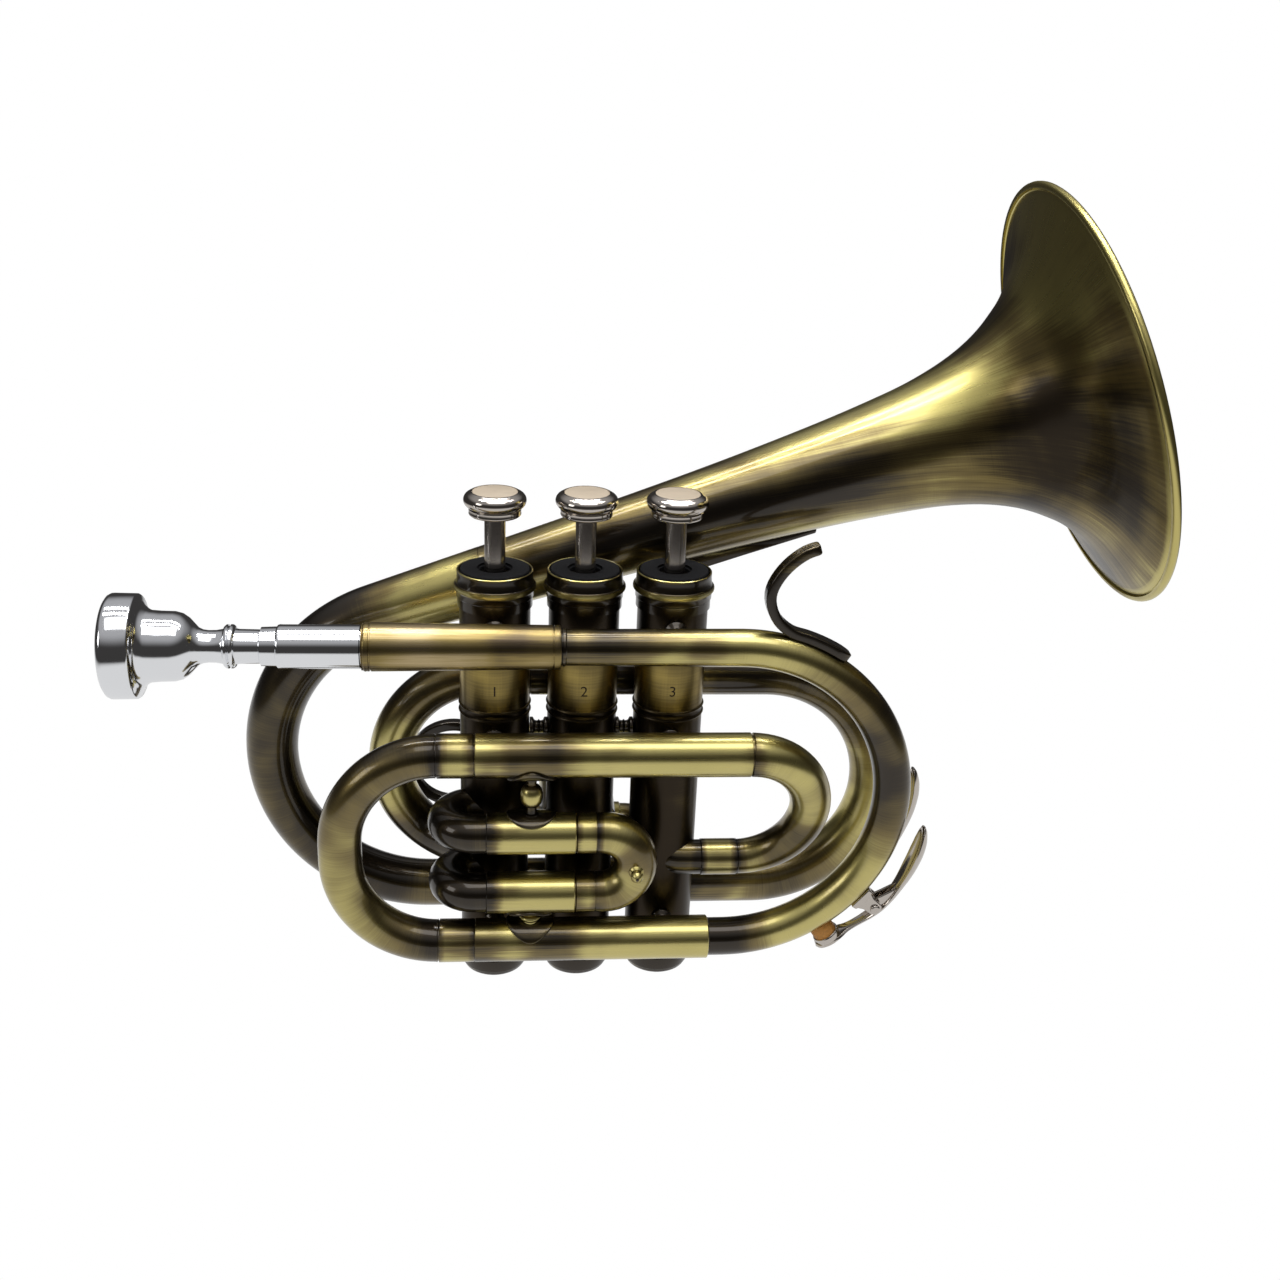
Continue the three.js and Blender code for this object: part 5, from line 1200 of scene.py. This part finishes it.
class HORN_OT_finger_ring(bpy.types.Operator):
    """Turns the finger ring of the third slide"""
    bl_idname = "horn.finger_ring"
    bl_label = "Finger ring"

    def execute(self, context):
        outline = [(-1.8, 12.2), *arc((-1.2, 12.4), 0.6, 200, 270, 2), (1.2, 11.8), (1.7, 12.2), (1.8, 14.2),
                   *arc((1.2, 14.25), 0.6, 0, 90, 3), (-1.2, 14.85), *arc((-1.2, 14.25), 0.6, 100, 180, 3),
                   (-1.8, 12.2)]
        ring = turned("finger_ring_band", outline, 72, (-38.2, 35.95, 50.45), Y, dark=[(0, 0.7)])
        base = [(0, 0), (0, 2.6), (1.2, 2.0), (2.6, 2.2), (2.6, 0)]
        foot = turned("finger_ring_foot", base, 32, (-25.4, 32.6, 50.4), Y, dark=[(0, 0.7)], edge=1)
        ring = joined("finger_ring_soldered", ring, foot)
        in_brass(ring, "finger_ring", body="third_slide_body", finish="dark brass")
        return {"FINISHED"}


# A water key is laid out by the run along its tube and the way out from the tube's skin, in millimetres.
# Its lever's stops: run, out, width, dish.
PIVOT_OUT, CUP_RUN = 5.2, -15.4
LEVER = (
    (-19.3, 5.2, 2.6, 0), (-18.2, 5.7, 5.6, 0), (-15.4, 5.9, 7.2, 0.2), (-12.4, 6.1, 6.0, 0.5),
    (-10, 6.4, 3.8, 0.9), (-7, 6.9, 3.2, 1.1), (-3.5, 7.7, 3.8, 1.3), (0, 8.3, 4.6, 1.5), (4, 8.5, 4.6, 1.7),
    (8, 8.4, 4.8, 2.0), (13, 8.3, 6.2, 2.5), (18, 8.1, 6.6, 2.6), (21.5, 7.7, 5.8, 2.2),
    (24.4, 7.0, 3.8, 1.2), (25.6, 6.4, 1.6, 0.3),
)


def water_key(name, centre, skin, y, degrees):
    """A lever with its leaf-shaped touch and its cup, the saddle that it turns on, and its cork."""
    def at(run, out):
        angle = math.radians(degrees) + run / skin
        return Vector((centre[0] + (skin + out) * math.cos(angle), y,
                       centre[1] + (skin + out) * math.sin(angle)))

    fine = spaced([stop[:3] for stop in LEVER], 1.2)
    dishes = [between([(stop[0], stop[3]) for stop in LEVER], run) for run, _, _ in fine]
    middle, widths = [at(run, out) for run, out, _ in fine], [width for _, _, width in fine]
    leaf = ribbon(f"{name}_leaf", middle, widths, 0.9, 0.28, rows=10, dishes=dishes)
    pivot, seat = at(0, PIVOT_OUT), at(CUP_RUN, 0)
    seat_way = at(CUP_RUN, 1) - seat
    outline = [(0, 0), (0, 1.9), (5, 1.9), (5, 0)]
    barrel = turned(f"{name}_barrel", outline, 28, pivot - Y * 2.5, Y, edge=1)
    outline = [(4.2, 0), (4.2, 3.2), (3.2, 3.2), (3.2, 3.85), (3.6, 4.05), (5.2, 3.9), (5.9, 3.3), (6.1, 0)]
    cup = turned(f"{name}_cup", outline, 40, seat, seat_way, edge=0.8)
    ear = [at(-1.4, 5.6), at(1.2, 3.9), at(3.6, 5.2), at(7.6, 7.6), at(3.4, 8.0)]
    ears = [slab(f"{name}_ear_{side}", ear, y + side * 1.5, 0.9, 0.15) for side in (-1, 1)]
    lever = joined(f"{name}_lever_formed", leaf, barrel, cup, *ears)
    placed(lever, "nickel", name, "nickel_plate", f"{name}_lever")

    angles = [math.radians(k * 20) for k in range(10)]
    top = [at(1.9 * math.cos(a), PIVOT_OUT + 1.9 * math.sin(a)) for a in angles]
    cheek = [at(-3.1, -0.5), at(3.1, -0.5), at(2.9, 0.9), at(2.1, 2.6), *top, at(-2.1, 2.6), at(-2.9, 0.9)]
    cheeks = [slab(f"{name}_cheek_{side}", cheek, y + side * 3.35, 1.1, 0.25) for side in (-1, 1)]
    foot = [at(-3.8, -0.8), at(3.8, -0.8), at(3.5, 0.9), at(1.5, 1.4), at(-1.5, 1.4), at(-3.5, 0.9)]
    foot = slab(f"{name}_foot", foot, y, 7.9, 0.4)
    outline = [(0, 0), (0, 1.1), (0.3, 1.45), (0.9, 1.45), (0.95, 0.9), (8.5, 0.9), (8.55, 1.3), (9.1, 1.2),
               (9.2, 0)]
    screw = turned(f"{name}_screw", outline, 28, pivot - Y * 4.7, Y, edge=1)
    saddle = joined(f"{name}_saddle_formed", foot, *cheeks, screw)
    placed(saddle, "nickel", "horn", "nickel_plate", f"{name}_saddle")

    outline = [(-0.8, 0), (-0.8, 3.2), (1.0, 3.55), (3.0, 3.55), (4.1, 3.25), (4.1, 0)]
    cork = turned(f"{name}_cork_turned", outline, 40, seat, seat_way, edge=1.5)
    placed(cork, "cork", name, "amber_cork", f"{name}_cork")


class HORN_OT_water_keys(bpy.types.Operator):
    """Models the two water keys"""
    bl_idname = "horn.water_keys"
    bl_label = "Water keys"

    def execute(self, context):
        water_key("near_key", (LEAD_BEND_X, LEAD_BEND_Z), LEAD_BEND_R + 5.4, FRONT_Y, -38.5)
        water_key("far_key", (REAR_BEND_X, REAR_BEND_Z), REAR_BEND_R + 7.0, REAR_Y, -30)
        return {"FINISHED"}


class HORN_OT_inner_works(bpy.types.Operator):
    """Gives the pistons, springs and crossovers their finishes"""
    bl_idname = "horn.inner_works"
    bl_label = "Inner works"

    def execute(self, context):
        inner = {"dark brass": ("crossover_12", "crossover_23"),
                 "nickel": [f"piston_{number}" for number in VALVES],
                 "silver": [f"valve_spring_{number}" for number in VALVES]}
        for finish, nodes in inner.items():
            for node in nodes:
                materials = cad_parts[node].data.materials
                materials.clear()
                materials.append(finishes[finish])
        return {"FINISHED"}


# Studio

def lay_floor(s):
    """A floor that is white to the camera, plain to the light, and a fading table in the reflections."""
    bpy.ops.object.select_all(action="DESELECT")
    bpy.ops.mesh.primitive_plane_add(size=FLOOR_SIZE, location=(0, 0, -FLOOR_DROP))
    floor = bpy.context.object
    floor.name = "floor"
    r = finish_recipe("floor")
    reach = r.node("ShaderNodeVectorMath", {"operation": "LENGTH"}, [r.object_place()], "Value")
    near = 1 - r.smooth(reach, s.table_edge, s.table_edge * 2)
    diffuse = r.node("ShaderNodeBsdfDiffuse", {}, {"Color": colour4(s.floor)})
    reflected = r.glow(r.mix(near, s.room, toned(s.floor, s.table_light)))
    mixed = r.node("ShaderNodeMixShader", {}, [r.ray("Is Glossy Ray"), diffuse, reflected])
    mixed = r.node("ShaderNodeMixShader", {}, [r.ray("Is Camera Ray"), mixed, r.glow((1, 1, 1))])
    r.node("ShaderNodeOutputMaterial", {}, {"Surface": mixed})
    floor.data.materials.append(r.holder)


def paint_room(s, scene):
    """A dark room with a pale ceiling, white to the camera."""
    scene.world = scene.world or bpy.data.worlds.new("room")
    r = Recipe(scene.world)
    height = r.node("ShaderNodeSeparateXYZ", {}, [r.node("ShaderNodeTexCoord", output="Generated")], "Z")
    colour = r.mix(r.smooth(height, 0.3, 0.75), s.room, s.ceiling)
    colour = r.mix(r.ray("Is Camera Ray"), colour, (1, 1, 1))
    r.node("ShaderNodeOutputWorld", {}, [r.node("ShaderNodeBackground", {}, [colour, 1.0])])


def hang_lamps(s, scene):
    """Area lamps, aimed at the horn."""
    for name, at, size, power, aim in LAMPS:
        light = bpy.data.lights.new(name, "AREA")
        light.shape, light.size, light.size_y = "RECTANGLE", *size
        light.energy = power * s.lamps
        lamp = bpy.data.objects.new(name, light)
        scene.collection.objects.link(lamp)
        lamp.location = at
        lamp.rotation_euler = (Vector(aim) - Vector(at)).to_track_quat("-Z", "Y").to_euler()


def set_camera(s, scene):
    """A camera where the photo was taken from."""
    data = bpy.data.cameras.new("camera")
    camera = bpy.data.objects.new("camera", data)
    scene.collection.objects.link(camera)
    yaw, pitch, roll = (math.radians(a) for a in (CAMERA_YAW, CAMERA_PITCH, CAMERA_ROLL))
    ahead = Vector((math.sin(yaw) * math.cos(pitch), math.cos(yaw) * math.cos(pitch), -math.sin(pitch)))
    right = Vector((math.cos(yaw), -math.sin(yaw), 0))
    up = right.cross(ahead)
    right, up = right * math.cos(roll) + up * math.sin(roll), up * math.cos(roll) - right * math.sin(roll)
    turn = Matrix((right, up, -ahead)).transposed().to_4x4()
    camera.matrix_world = Matrix.Translation(CAMERA_AT * MM) @ turn
    data.sensor_width, data.lens = 36, s.lens / MM
    data.clip_start, data.clip_end = 0.01, 100
    scene.camera = camera
    scene.view_settings.view_transform = "Standard"


class HORN_OT_stage(bpy.types.Operator):
    """Sets up the floor, the room, the lamps and the camera"""
    bl_idname = "horn.stage"
    bl_label = "Stage"

    def execute(self, context):
        settings, scene = context.scene.horn_studio, context.scene
        lay_floor(settings)
        paint_room(settings, scene)
        hang_lamps(settings, scene)
        set_camera(settings, scene)
        return {"FINISHED"}


OPERATORS = (
    HORN_OT_finishes, HORN_OT_valves, HORN_OT_mouthpiece, HORN_OT_lead_pipe, HORN_OT_tuning_slide,
    HORN_OT_valve_slides, HORN_OT_bell, HORN_OT_bell_branches, HORN_OT_braces, HORN_OT_finger_hook,
    HORN_OT_bell_brace, HORN_OT_finger_ring, HORN_OT_water_keys, HORN_OT_inner_works, HORN_OT_stage,
)
GROUPS = {"horn_sizes": HornSizes, "horn_colours": HornColours, "horn_studio": StudioSettings}


class HORN_PT_panel(bpy.types.Panel):
    """Lists the settings and the steps that make the horn"""
    bl_idname = "HORN_PT_panel"
    bl_label = "Pocket trumpet"
    bl_space_type = "VIEW_3D"
    bl_region_type = "UI"
    bl_category = "Pocket trumpet"

    def draw(self, context):
        for name, group in GROUPS.items():
            box = self.layout.box()
            for setting in group.__annotations__:
                box.prop(getattr(context.scene, name), setting)
        for operator in OPERATORS:
            self.layout.operator(operator.bl_idname)


def register():
    for part in (*GROUPS.values(), *OPERATORS, HORN_PT_panel):
        bpy.utils.register_class(part)
    for name, group in GROUPS.items():
        setattr(bpy.types.Scene, name, bpy.props.PointerProperty(type=group))


def unregister():
    for name in GROUPS:
        delattr(bpy.types.Scene, name)
    for part in reversed((*GROUPS.values(), *OPERATORS, HORN_PT_panel)):
        bpy.utils.unregister_class(part)


def main():
    register()
    for operator in OPERATORS:
        group, name = operator.bl_idname.split(".")
        getattr(getattr(bpy.ops, group), name)()


if __name__ == "__main__":
    main()
